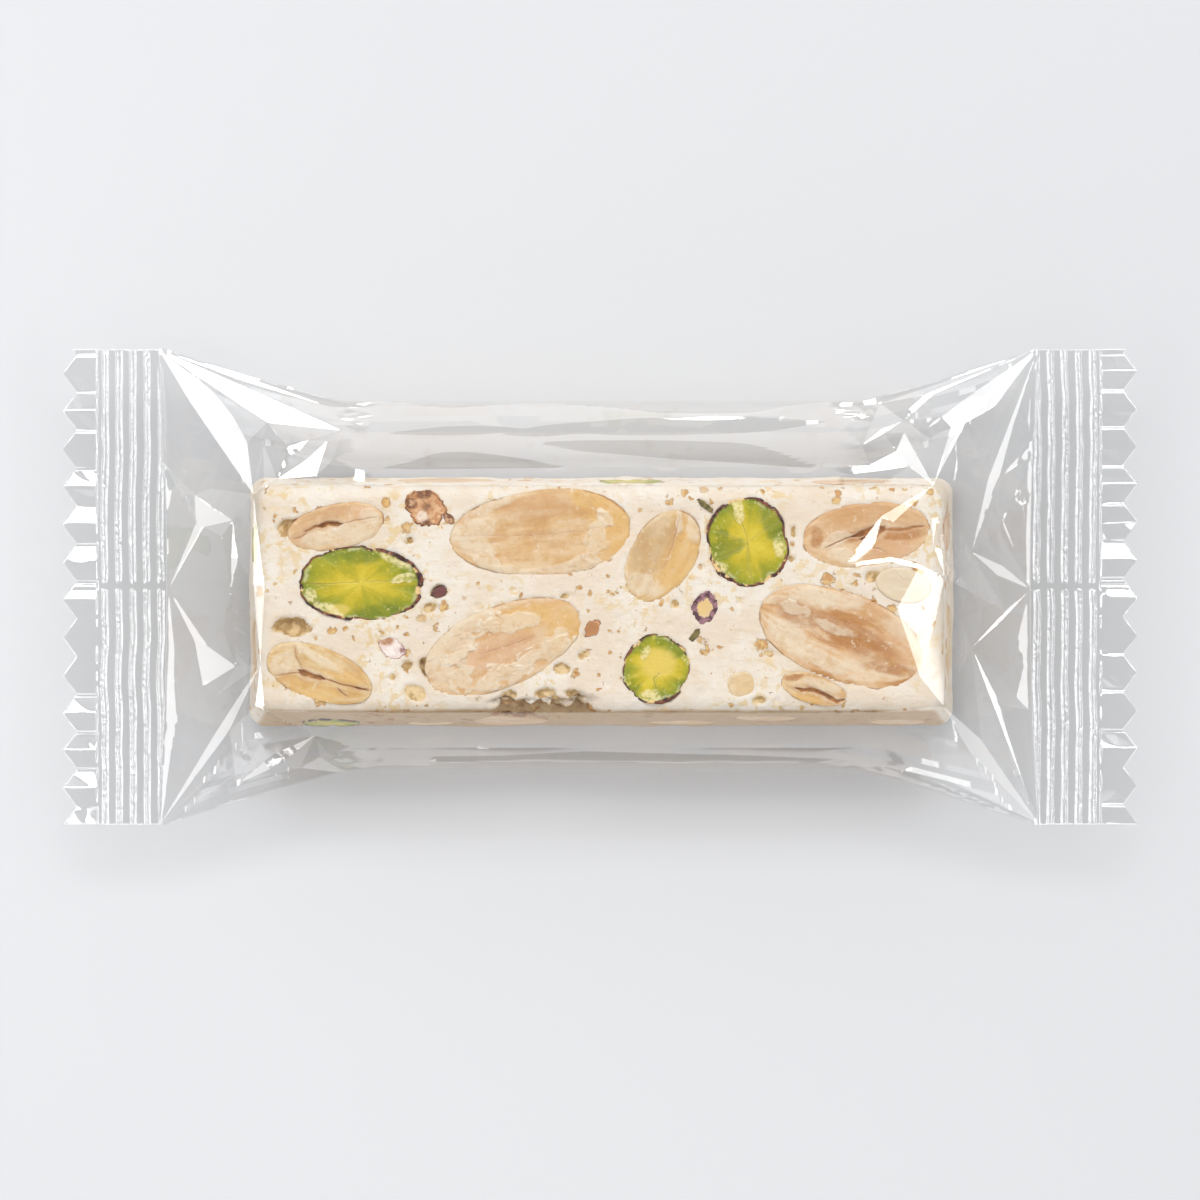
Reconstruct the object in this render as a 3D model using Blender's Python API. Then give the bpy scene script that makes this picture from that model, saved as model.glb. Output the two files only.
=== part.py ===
"""A nougat bar in a clear sealed flow-pack, as the one closed solid that its film encloses.

Metres, +Z up. The pack lies flat along X with its origin under its middle. A tube of film wraps the
bar, and each end is pressed flat into a ridged seal with a zigzag edge. The solid is one loft from
seal to seal: every station along X has a top row and a bottom row of points across the pack.
"""

import bpy
import numpy as np

MM = 0.001

# Driving dimensions
PACK_LENGTH = 138.8 * MM
SEAL_WIDTH = 61.5 * MM
TEETH = 13
TOOTH_DEPTH = 1.7 * MM
SEAL_OUTER = 64.8 * MM  # distance from the middle of the pack to the outer end of the ridges
SEAL_INNER = 56.0 * MM  # the same to their inner end, where the film opens
SEAL_HEIGHT = 8.4 * MM  # height of the two seals above the floor
SEAL_THICKNESS = 0.4 * MM
RIDGES = 5
RIDGE_DEPTH = 0.3 * MM

BODY_WIDTH = 48.2 * MM
BODY_SHIFT = -0.5 * MM  # the body lies a little to one side of the seals' middle
BODY_TOP = 18.4 * MM
BODY_HALF_LENGTH = 33.0 * MM  # past this the outline widens to the seals
BAR_HALF_LENGTH = 44.0 * MM  # past this the film falls from the bar's end to the seal
BELLY_DROP = 9.4 * MM  # how far the lower film would hang under the seals without the floor
SECTION_POWER = 2.8  # how boxy the full section is
TAPER_POWER = 1.9  # how boxy the section is beside the seal
OUTLINE_POWER = 1.15

FOLD_LIFT = 2.6 * MM  # height of a fold's ridge over the film beside it
FOLD_DIP = 1.3 * MM  # how far the film between the folds sinks below a smooth pillow
FOLD_WIDTH = 4.6 * MM
STAR_REACH = 15.0 * MM  # length of the folds that fan out of the middle of each seal
STAR_SPREAD = (-64, -36, 0, 36, 64)  # their directions in degrees from the pack's length
CORNER_REACH = 26.0 * MM  # length of the folds that leave each corner of the seals
CORNER_SPREAD = (10, 28, 50)
FOLDED_HALF_LENGTH = 30.0 * MM  # the folds have died out this far from the middle
WAVE_DEPTH = 0.4 * MM  # long soft waves along both sides
WAVE_LENGTH = 31.0 * MM

FOLD_STATIONS = 27
BODY_STATIONS = 9


def smooth(low, high, value):
    """0 below low, 1 above high, and an S-curve between."""
    share = np.clip((value - low) / (high - low), 0, 1)
    return share * share * (3 - 2 * share)


def half_width(x):
    """Half of the outline's width: even along the body, then widening to the corners of the seal."""
    share = np.clip((np.abs(x) - BODY_HALF_LENGTH) / (SEAL_INNER - BODY_HALF_LENGTH), 0, 1)
    return BODY_WIDTH / 2 + (SEAL_WIDTH - BODY_WIDTH) / 2 * share**OUTLINE_POWER


def fullness(x):
    """0 in the seals and 1 over the bar: a quarter of a sine wave from the seal to the bar's end."""
    share = np.clip((SEAL_INNER - np.abs(x)) / (SEAL_INNER - BAR_HALF_LENGTH), 0, 1)
    return np.sin(share * np.pi / 2)


def fold(x, y, start, angle, reach):
    """A sharp ridge along a straight line from start, widening and then dying out along its length."""
    angle = np.radians(angle)
    along = (x - start[0]) * np.cos(angle) + (y - start[1]) * np.sin(angle)
    across = (y - start[1]) * np.cos(angle) - (x - start[0]) * np.sin(angle)
    share = np.clip(along / reach, 0, 1)
    width = FOLD_WIDTH * (0.25 + 0.75 * share)
    tent = np.clip(1 - np.abs(across) / width, 0, 1)
    return tent * np.sin(np.pi * share) ** 0.7


def folds(x, y):
    """Both ends' folds: a star out of the middle of each seal, a fan out of each corner, and dips between."""
    ridges = np.zeros_like(x)
    for end in (-1, 1):
        inward = 180 if end > 0 else 0
        for angle in STAR_SPREAD:
            ridges = np.maximum(ridges, fold(x, y, (end * SEAL_INNER, 0), inward + angle, STAR_REACH))
        for side in (-1, 1):
            corner = (end * SEAL_INNER, side * SEAL_WIDTH / 2)
            for angle in CORNER_SPREAD:
                ridges = np.maximum(ridges, fold(x, y, corner, inward + end * side * angle, CORNER_REACH))
    return (FOLD_LIFT * ridges - FOLD_DIP) * smooth(FOLDED_HALF_LENGTH, BAR_HALF_LENGTH, np.abs(x))


def stations():
    """Where the rows lie along one half of the pack, from the middle out to the edge of the seal."""
    body = np.linspace(0, BODY_HALF_LENGTH, BODY_STATIONS)[:-1]
    opening = np.linspace(BODY_HALF_LENGTH, SEAL_INNER, FOLD_STATIONS)[:-1]
    ridges = np.linspace(SEAL_INNER, SEAL_OUTER, 2 * RIDGES + 1)
    return np.concatenate([body, opening, ridges, [PACK_LENGTH / 2]])


def rows():
    """Points of the top and the bottom film, as two grids of stations by points across."""
    half = stations()
    along = np.concatenate([-half[:0:-1], half])[:, None]
    share = np.linspace(-1, 1, 2 * TEETH + 1)[None, :]
    full = fullness(along)

    across = (1 - full) * share + full * np.sin(share * np.pi / 2)
    shift = BODY_SHIFT * smooth(0, 1, full)
    x = along + 0 * across
    y = half_width(along) * across + shift * (1 - across**2)

    # The edge is a zigzag: every second point of the last row steps back by the depth of a tooth.
    valley = (np.arange(2 * TEETH + 1) % 2 == 0)[None, :] & (np.abs(along) > SEAL_OUTER + TOOTH_DEPTH)
    x = x - np.sign(x) * TOOTH_DEPTH * valley

    # The ridges of the seals rise and fall from one station to the next, and both films share them.
    count = np.round((np.abs(along) - SEAL_INNER) / (SEAL_OUTER - SEAL_INNER) * 2 * RIDGES)
    in_seal = (np.abs(along) > SEAL_INNER - MM / 10) & (np.abs(along) < SEAL_OUTER + MM / 10)
    middle = SEAL_HEIGHT + RIDGE_DEPTH * in_seal * (count % 2)

    power = TAPER_POWER + (SECTION_POWER - TAPER_POWER) * full
    section = np.clip(1 - np.abs(across) ** power, 0, 1) ** (1 / power)
    waves = WAVE_DEPTH * np.cos(2 * np.pi * x / WAVE_LENGTH) * np.abs(across) ** 3
    relief = (folds(x, y) + waves) * full * section
    rise = BODY_TOP - SEAL_HEIGHT - SEAL_THICKNESS / 2
    top = middle + SEAL_THICKNESS / 2 + np.minimum(rise * full * section + relief, rise)
    bottom = np.maximum(middle - SEAL_THICKNESS / 2 - BELLY_DROP * full * section - relief, 0)
    return x, y, top, bottom


def loft(name):
    """One closed mesh between the two grids of points, with walls along the sides and the ends."""
    x, y, top, bottom = rows()
    lines, points = x.shape
    upper = np.stack([x, y, top], axis=2).reshape(-1, 3)
    lower = np.stack([x, y, bottom], axis=2).reshape(-1, 3)
    index = np.arange(lines * points).reshape(lines, points)
    below = index + lines * points

    def quads(a, b, c, d):
        return np.stack([a, b, c, d], axis=-1).reshape(-1, 4)

    faces = np.concatenate(
        [
            quads(index[:-1, :-1], index[1:, :-1], index[1:, 1:], index[:-1, 1:]),
            quads(below[:-1, :-1], below[:-1, 1:], below[1:, 1:], below[1:, :-1]),
            quads(below[:-1, 0], below[1:, 0], index[1:, 0], index[:-1, 0]),
            quads(index[:-1, -1], index[1:, -1], below[1:, -1], below[:-1, -1]),
            quads(index[0, :-1], index[0, 1:], below[0, 1:], below[0, :-1]),
            quads(below[-1, :-1], below[-1, 1:], index[-1, 1:], index[-1, :-1]),
        ]
    )
    mesh = bpy.data.meshes.new(name)
    mesh.from_pydata(np.concatenate([upper, lower]).tolist(), [], faces.tolist())
    mesh.validate()
    return mesh


def film_material():
    """Clear glossy film."""
    material = bpy.data.materials.new("clear_film")
    material.use_nodes = True
    shader = material.node_tree.nodes["Principled BSDF"]
    shader.inputs["Base Color"].default_value = (0.93, 0.93, 0.92, 1)
    shader.inputs["Roughness"].default_value = 0.08
    shader.inputs["Metallic"].default_value = 0
    return material


def main():
    for old in list(bpy.data.objects):
        bpy.data.objects.remove(old, do_unlink=True)
    parts = bpy.data.collections.new("nougat_bar")
    bpy.context.scene.collection.children.link(parts)
    wrapper = bpy.data.objects.new("wrapper", loft("wrapper"))
    wrapper.data.materials.append(film_material())
    parts.objects.link(wrapper)


main()
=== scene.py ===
# A bar of nougat with almonds and pistachios in a clear sealed flow-pack.
# Lengths in the settings are in millimetres; the finished meshes are in metres.
import math

import bpy
import numpy as np
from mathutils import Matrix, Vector
from mathutils.geometry import delaunay_2d_cdt


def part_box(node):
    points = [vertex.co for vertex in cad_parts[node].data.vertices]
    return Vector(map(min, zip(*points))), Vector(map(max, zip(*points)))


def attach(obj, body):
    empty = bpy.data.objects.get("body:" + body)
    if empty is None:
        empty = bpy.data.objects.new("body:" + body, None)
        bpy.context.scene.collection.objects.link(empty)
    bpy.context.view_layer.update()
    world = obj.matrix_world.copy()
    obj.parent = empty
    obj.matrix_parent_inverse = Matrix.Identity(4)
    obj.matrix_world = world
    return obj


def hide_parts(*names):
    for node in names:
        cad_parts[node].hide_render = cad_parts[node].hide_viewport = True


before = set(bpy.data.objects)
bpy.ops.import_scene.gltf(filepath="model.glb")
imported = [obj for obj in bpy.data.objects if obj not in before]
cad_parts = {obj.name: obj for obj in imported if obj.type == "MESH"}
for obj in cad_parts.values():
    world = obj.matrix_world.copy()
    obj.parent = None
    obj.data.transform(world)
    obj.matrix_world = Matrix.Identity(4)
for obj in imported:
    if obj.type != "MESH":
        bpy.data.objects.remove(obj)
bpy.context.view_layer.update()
packLow, packHigh = (np.array(corner) * 1000 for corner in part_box("wrapper"))
print("frame loaded, pack", np.round(packHigh - packLow, 1), "mm")


def smooth(low, high, value):
    # 0 below low, 1 above high and an S-curve between, the other way round where low is above high
    share = np.clip((value - low) / (high - low), 0, 1)
    return share * share * (3 - 2 * share)


def bell(distance, reach, power=2):
    # 1 at no distance, falling to nothing past the reach
    return np.exp(-((distance / reach) ** power))


def alongAcross(x, y, degrees):
    # an offset's parts along a direction and across it
    turn = math.radians(degrees)
    return x * math.cos(turn) + y * math.sin(turn), y * math.cos(turn) - x * math.sin(turn)


def scatterValue(ix, iy, iz, seed):
    # a fixed value from 0 to 1 for each whole-number place, mixed from its bits
    mixed = (ix * 73856093) ^ (iy * 19349663) ^ (iz * 83492791) ^ (seed * 2654435)
    mixed = mixed & 0xFFFFFFFF
    mixed = ((mixed ^ (mixed >> 15)) * 739982445) & 0xFFFFFFFF
    mixed = ((mixed ^ (mixed >> 12)) * 695872825) & 0xFFFFFFFF
    return ((mixed ^ (mixed >> 15)) & 0xFFFFFF) / 0xFFFFFF


def softNoise(x, y, z, size, seed, octaves=1):
    # values at the corners of a lattice of cubes, blended inside each cube, then finer copies added;
    # -1 to 1
    total = 0.0
    weight = 1.0
    weights = 0.0
    for octave in range(octaves):
        px, py, pz = x / size, y / size, z / size
        ix, iy, iz = (np.floor(p).astype(np.int64) for p in (px, py, pz))
        fx, fy, fz = px - ix, py - iy, pz - iz
        fx, fy, fz = (f * f * (3 - 2 * f) for f in (fx, fy, fz))
        value = 0.0
        for dx in (0, 1):
            for dy in (0, 1):
                for dz in (0, 1):
                    share = abs(1 - dx - fx) * abs(1 - dy - fy) * abs(1 - dz - fz)
                    value = value + share * scatterValue(ix + dx, iy + dy, iz + dz, seed + octave)
        total = total + weight * (2 * value - 1)
        weights += weight
        weight *= 0.5
        size = size * 0.5
    return total / weights


def flatNoise(x, y, size, seed, octaves=1):
    # the same noise over a flat sheet
    return softNoise(x, y, 0 * x, size, seed, octaves)


def cellNoise(x, y, z, size, seed):
    # distance to the nearest of one random point per cube of a lattice, in cubes, and that point's value
    px, py, pz = x / size, y / size, z / size
    ix, iy, iz = (np.floor(p).astype(np.int64) for p in (px, py, pz))
    nearest = np.full(px.shape, 9.0)
    owner = np.zeros(px.shape)
    for dx in (-1, 0, 1):
        for dy in (-1, 0, 1):
            for dz in (-1, 0, 1):
                cx, cy, cz = ix + dx, iy + dy, iz + dz
                gap = (
                    (cx + scatterValue(cx, cy, cz, seed) - px) ** 2
                    + (cy + scatterValue(cx, cy, cz, seed + 1) - py) ** 2
                    + (cz + scatterValue(cx, cy, cz, seed + 2) - pz) ** 2
                )
                closer = gap < nearest
                nearest = np.where(closer, gap, nearest)
                owner = np.where(closer, scatterValue(cx, cy, cz, seed + 3), owner)
    return np.sqrt(nearest), owner


def facetNoise(x, y, sizeX, sizeY, seed):
    # flat triangles between random heights on a lattice that is bent a little, like crumpled film;
    # -1 to 1
    bendX, bendY = (0.6 * flatNoise(x / sizeX, y / sizeY, 1.7, seed + more) for more in (7, 8))
    u, v = x / sizeX + bendX, y / sizeY + bendY + 0.5 * (x / sizeX + bendX)
    iu, iv = np.floor(u).astype(np.int64), np.floor(v).astype(np.int64)
    fu, fv = u - iu, v - iv
    low, right, up, far = (
        scatterValue(iu + a, iv + b, 0 * iu, seed) for a, b in ((0, 0), (1, 0), (0, 1), (1, 1))
    )
    under = low + fu * (right - low) + fv * (up - low)
    over = far + (1 - fu) * (up - far) + (1 - fv) * (right - far)
    return 2 * np.where(fu + fv < 1, under, over) - 1


def gridFaces(index):
    # one quad between each point of a grid of vertex numbers and its neighbours
    corners = [index[:-1, :-1], index[1:, :-1], index[1:, 1:], index[:-1, 1:]]
    return np.stack(corners, axis=-1).reshape(-1, 4)


def makeMesh(name, points, faces, material, values=None):
    # points in millimetres; faces are groups of triangles or of quads;
    # values are named numbers, one per point, that the material reads
    mesh = bpy.data.meshes.new(name)
    points = np.asarray(points, dtype=np.float64) * 0.001
    faces = [np.asarray(group, dtype=np.int32) for group in faces]
    corners = np.concatenate([group.reshape(-1) for group in faces])
    sizes = np.concatenate([np.full(len(group), group.shape[1], dtype=np.int32) for group in faces])
    starts = np.concatenate([[0], np.cumsum(sizes)[:-1]]).astype(np.int32)
    mesh.vertices.add(len(points))
    mesh.vertices.foreach_set("co", points.astype(np.float32).reshape(-1))
    mesh.loops.add(len(corners))
    mesh.loops.foreach_set("vertex_index", corners.astype(np.int32))
    mesh.polygons.add(len(sizes))
    mesh.polygons.foreach_set("loop_start", starts)
    mesh.polygons.foreach_set("use_smooth", np.ones(len(sizes), dtype=bool))
    mesh.update(calc_edges=True)
    mesh.validate()
    for key, numbers in (values or {}).items():
        layer = mesh.attributes.new(key, "FLOAT", "POINT")
        layer.data.foreach_set("value", np.asarray(numbers, dtype=np.float32).reshape(-1))
    mesh.materials.append(material)
    piece = bpy.data.objects.new(name, mesh)
    bpy.context.scene.collection.objects.link(piece)
    return piece


def finishPiece(piece):
    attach(piece, "root")
    return piece


def shade(code):
    # a colour as written in a paint chart, such as "F7F0E4", in the renderer's linear numbers
    parts = [int(code[i:i + 2], 16) / 255 for i in (0, 2, 4)]
    return tuple(p / 12.92 if p <= 0.04045 else ((p + 0.055) / 1.055) ** 2.4 for p in parts) + (1.0,)


class Nodes:
    # a short way to add and join the nodes of one material, or of the room

    def __init__(self, name, kind="materials"):
        self.owner = getattr(bpy.data, kind).new(name)
        self.owner.use_nodes = True
        self.tree = self.owner.node_tree
        self.places = self.add("ShaderNodeTexCoord").outputs
        self.place = self.places["Object"]

    def add(self, kind, inputs=None, **settings):
        node = self.tree.nodes.new(kind)
        for key, value in settings.items():
            setattr(node, key, value)
        for key, value in (inputs or {}).items():
            self.feed(node.inputs[key], value)
        return node

    def feed(self, socket, value):
        # a value is a socket to join, a number, a row of numbers or a colour's code
        if isinstance(value, bpy.types.NodeSocket):
            self.tree.links.new(value, socket)
        else:
            socket.default_value = shade(value) if isinstance(value, str) else value

    def value(self, name):
        return self.add("ShaderNodeAttribute", attribute_name=name).outputs["Fac"]

    def math(self, operation, first, second=0.0, third=0.0, clamp=False):
        inputs = {0: first, 1: second, 2: third}
        return self.add("ShaderNodeMath", inputs, operation=operation, use_clamp=clamp).outputs[0]

    def times(self, first, second):
        return self.math("MULTIPLY", first, second)

    def highest(self, first, *others):
        for other in others:
            first = self.math("MAXIMUM", first, other)
        return first

    def ramp(self, value, low, high, lowOut=0.0, highOut=1.0):
        node = self.add(
            "ShaderNodeMapRange",
            {"Value": value, "From Min": low, "From Max": high, "To Min": lowOut, "To Max": highOut},
            interpolation_type="SMOOTHSTEP",
        )
        return node.outputs["Result"]

    def mix(self, share, first, second, blend="MIX"):
        inputs = {0: share, 6: first, 7: second}
        return self.add("ShaderNodeMix", inputs, data_type="RGBA", blend_type=blend).outputs[2]

    def tint(self, base, colour, share, amount):
        # lays a colour over the base, by the share times the amount
        return self.mix(self.times(share, amount), base, colour)

    def noise(self, size, detail=3.0, rough=0.55, source=None):
        # size in millimetres
        source = source or self.place
        inputs = {"Vector": source, "Scale": 1000 / size, "Detail": detail, "Roughness": rough}
        return self.add("ShaderNodeTexNoise", inputs).outputs["Fac"]

    def uneven(self, size, detail, rough, amount):
        # noise about nought
        return self.times(self.math("SUBTRACT", self.noise(size, detail, rough), 0.5), amount)

    def scaled(self, scale, turn):
        # the place, turned about the upright and drawn out
        inputs = {"Vector": self.place, "Scale": scale, "Rotation": (0, 0, turn)}
        return self.add("ShaderNodeMapping", inputs).outputs[0]

    def warped(self, size, amount):
        # the place, pushed about by a noise of the given size, both in millimetres
        inputs = {"Vector": self.place, "Scale": 1000 / size, "Detail": 3.0}
        push = self.add("ShaderNodeTexNoise", inputs).outputs["Color"]
        inputs = {0: push, 1: (amount * 0.001,) * 3, 2: self.place}
        return self.add("ShaderNodeVectorMath", inputs, operation="MULTIPLY_ADD").outputs[0]

    def bump(self, height, depth, normal=None):
        # depth in millimetres for a height of 1
        inputs = {"Height": height, "Strength": 1.0, "Distance": depth * 0.001}
        if normal is not None:
            inputs["Normal"] = normal
        return self.add("ShaderNodeBump", inputs).outputs["Normal"]

    def finish(self, colour, roughness, normal=None, specular=0.5):
        inputs = self.tree.nodes["Principled BSDF"].inputs
        self.feed(inputs["Base Color"], colour)
        self.feed(inputs["Roughness"], roughness)
        self.feed(inputs["Specular IOR Level"], specular)
        if normal is not None:
            self.feed(inputs["Normal"], normal)
        return self.owner


barSizes = {
    "top": (-43.7, 43.7, -15.9, 12.9),      # edges of the top face
    "bottom": (-45.7, 46.0, -18.3, 14.3),   # edges of the underside
    "low": 0.35,
    "high": 16.0,
    "halfLength": 44.7,
    "halfWidth": 15.7,
    "edgeRadius": 1.5,
    "cornerRadius": 2.2,
    "spacing": 0.29,                        # of the mesh
    "waviness": 0.16,
    "grain": 0.035,
    "sideRoughness": 0.22,
    "poreDepth": 0.22,
}

# holes in the nougat's top: x, y, length, width, angle in degrees, depth
barHoles = [
    (-39.8, -5.1, 4.9, 2.4, -8, 1.5),
    (-21.9, -2.6, 2.0, 1.3, 25, 0.6),
    (-22.6, -10.3, 1.6, 2.3, 20, 1.0),
    (-25.0, -10.2, 1.2, 1.5, -30, 0.7),
    (-20.9, -0.6, 2.2, 1.6, 20, 0.7),
    (-40.2, 7.8, 3.2, 2.3, 15, 0.7),
    (-23.9, -13.7, 3.7, 2.5, -25, 0.45),
    (-26.8, -11.6, 0.9, 1.1, 0, 0.4),
    (-24.6, 6.0, 1.2, 0.8, -40, 0.4),
    (-5.0, -10.6, 2.3, 1.5, -15, 0.6),
    (-11.9, -14.0, 1.9, 1.5, 10, 0.8),
    (-7.2, -13.7, 2.6, 1.4, 5, 0.9),
    (-3.4, -13.9, 2.0, 1.3, -15, 0.9),
    (35.2, 1.4, 1.9, 1.5, 30, 0.6),
    (24.9, 7.1, 0.8, 1.5, 0, 0.5),
    (24.6, 3.6, 1.2, 0.9, 0, 0.4),
    (21.8, -8.6, 1.5, 1.0, -20, 0.4),
    (9.6, -2.2, 1.3, 1.5, 0, 0.4),
    (20.4, -14.7, 1.9, 1.1, 0, 0.5),
    (-4.6, -1.2, 1.4, 0.9, 20, 0.4),
    (-2.2, -8.8, 1.7, 1.0, 20, 0.4),
]

# the stretch of the front top edge that has crumbled away
tornSizes = {
    "left": (-15.5, -12.5),     # where it starts and is whole
    "right": (-3.0, 0.5),
    "edge": -14.3,              # its back edge, and how far that wanders
    "wander": 0.9,
    "low": 6.0,                 # heights between which it fades in
    "high": 12.0,
    "chunk": 1.5,
}


def barSurface():
    # the skin of a box as a grid of points on each of its six sides, edges shared, corners -1 and 1
    top, spacing = barSizes["top"], barSizes["spacing"]
    counts = [
        int((top[1] - top[0]) / spacing),
        int((top[3] - top[2]) / spacing),
        int((barSizes["high"] - barSizes["low"]) / spacing * 0.75),
    ]
    points, faces, start = [], [], 0
    for axis in range(3):
        first, second = (axis + 1) % 3, (axis + 2) % 3
        firstLine, secondLine = (np.linspace(-1, 1, counts[i] + 1) for i in (first, second))
        a, b = np.meshgrid(firstLine, secondLine, indexing="ij")
        for side in (-1, 1):
            place = np.zeros(a.shape + (3,))
            place[..., axis], place[..., first], place[..., second] = side, a, b
            quads = gridFaces(start + np.arange(a.size).reshape(a.shape))
            points.append(place.reshape(-1, 3))
            faces.append(quads if side > 0 else quads[:, ::-1])
            start += a.size
    points, faces = np.concatenate(points), np.concatenate(faces)
    keys = np.round(points * 1e5).astype(np.int64)
    _, first, same = np.unique(keys, axis=0, return_index=True, return_inverse=True)
    return points[first], same.reshape(-1)[faces]


def roundBox(unit):
    # a box whose edges are rolled: each point is its nearest point on a smaller box plus the radius
    # outwards; then the sides are leant from the underside's edges to the top's
    low, high = barSizes["low"], barSizes["high"]
    size = np.array([barSizes["halfLength"], barSizes["halfWidth"], (high - low) / 2])
    radius = np.array([barSizes["cornerRadius"], barSizes["cornerRadius"], barSizes["edgeRadius"]])
    place = unit * size
    inner = np.clip(place, -(size - radius), size - radius)
    out = (place - inner) / radius
    length = np.maximum(np.linalg.norm(out, axis=1, keepdims=True), 1e-9)
    normal = out / length
    rolled = (inner + radius * normal) / size
    height = (rolled[:, 2] + 1) / 2
    left, right, front, back = (
        (1 - height) * below + height * above
        for below, above in zip(barSizes["bottom"], barSizes["top"])
    )
    x = (left + right) / 2 + rolled[:, 0] * (right - left) / 2
    y = (front + back) / 2 + rolled[:, 1] * (back - front) / 2
    z = low + height * (high - low)
    return np.stack([x, y, z], axis=1), normal


def holeDepths(x, y):
    # how deep each point of the top lies in the listed holes: a bowl with an uneven rim
    depth = np.zeros_like(x)
    wobble = 1 + 0.25 * flatNoise(x, y, 1.1, 31, 2)
    for holeX, holeY, length, width, degrees, deep in barHoles:
        holeX, holeY = onTop(holeX, holeY)
        along, across = alongAcross(x - holeX, y - holeY, degrees)
        reach = np.sqrt((2 * along / length) ** 2 + (2 * across / width) ** 2) * wobble
        depth = np.maximum(depth, deep * np.clip((1.08 - reach) * 2.6, 0, 1))
    return depth


def tornEdge(x, y, z):
    # where the front edge has crumbled away between two places on the bar: 0 to 1
    s = tornSizes
    along = smooth(*s["left"], x) * smooth(*s["right"][::-1], x)
    ragged = s["edge"] + s["wander"] * flatNoise(x, 0 * x, 2.3, 12, 3) + 0.3 * np.sin(x * 1.9)
    return along * smooth(ragged + 0.25, ragged - 0.35, y) * smooth(s["low"], s["high"], z)


def nougatBar(material):
    unit, faces = barSurface()
    points, normal = roundBox(unit)
    x, y, z = points.T
    wave = softNoise(x, y, z, 9.0, 3, 2) * barSizes["waviness"]
    grain = softNoise(x, y, z, 0.9, 5, 2) * barSizes["grain"]
    gap, owner = cellNoise(x, y, z, 1.9, 17)
    pores = smooth(0.62, 0.86, owner) * smooth(0.36, 0.12, gap)
    upward = smooth(0.6, 0.95, normal[:, 2])
    holes = holeDepths(x, y) * upward
    torn = tornEdge(x, y, z)
    chunkGap, chunk = cellNoise(x, y, z, tornSizes["chunk"], 41)
    chunks = 0.25 + 1.1 * chunk + 0.5 * smooth(0.30, 0.62, chunkGap)
    tornRelief = torn * (chunks + 0.3 * softNoise(x, y, z, 0.8, 23, 2))
    sides = (1 - np.abs(normal[:, 2])) * softNoise(x, y, z * 1.6, 3.2, 9, 3) * barSizes["sideRoughness"]
    lift = wave + grain + sides - barSizes["poreDepth"] * pores - holes - tornRelief
    lift = lift - nutSeats(points)
    points = points + normal * lift[:, None]
    values = {
        "hole": smooth(0.05, 0.45, holes),
        # torn: the deepest parts of the torn edge, which the material darkens as painted shade
        "torn": torn * smooth(0.75, 1.25, tornRelief),
        # side: the front face, which the material darkens as painted shade
        "side": smooth(-0.75, -0.96, normal[:, 1]) * smooth(0.6, 0.3, normal[:, 2]),
    }
    return makeMesh("nougat", points, [faces], material, values)


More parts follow.
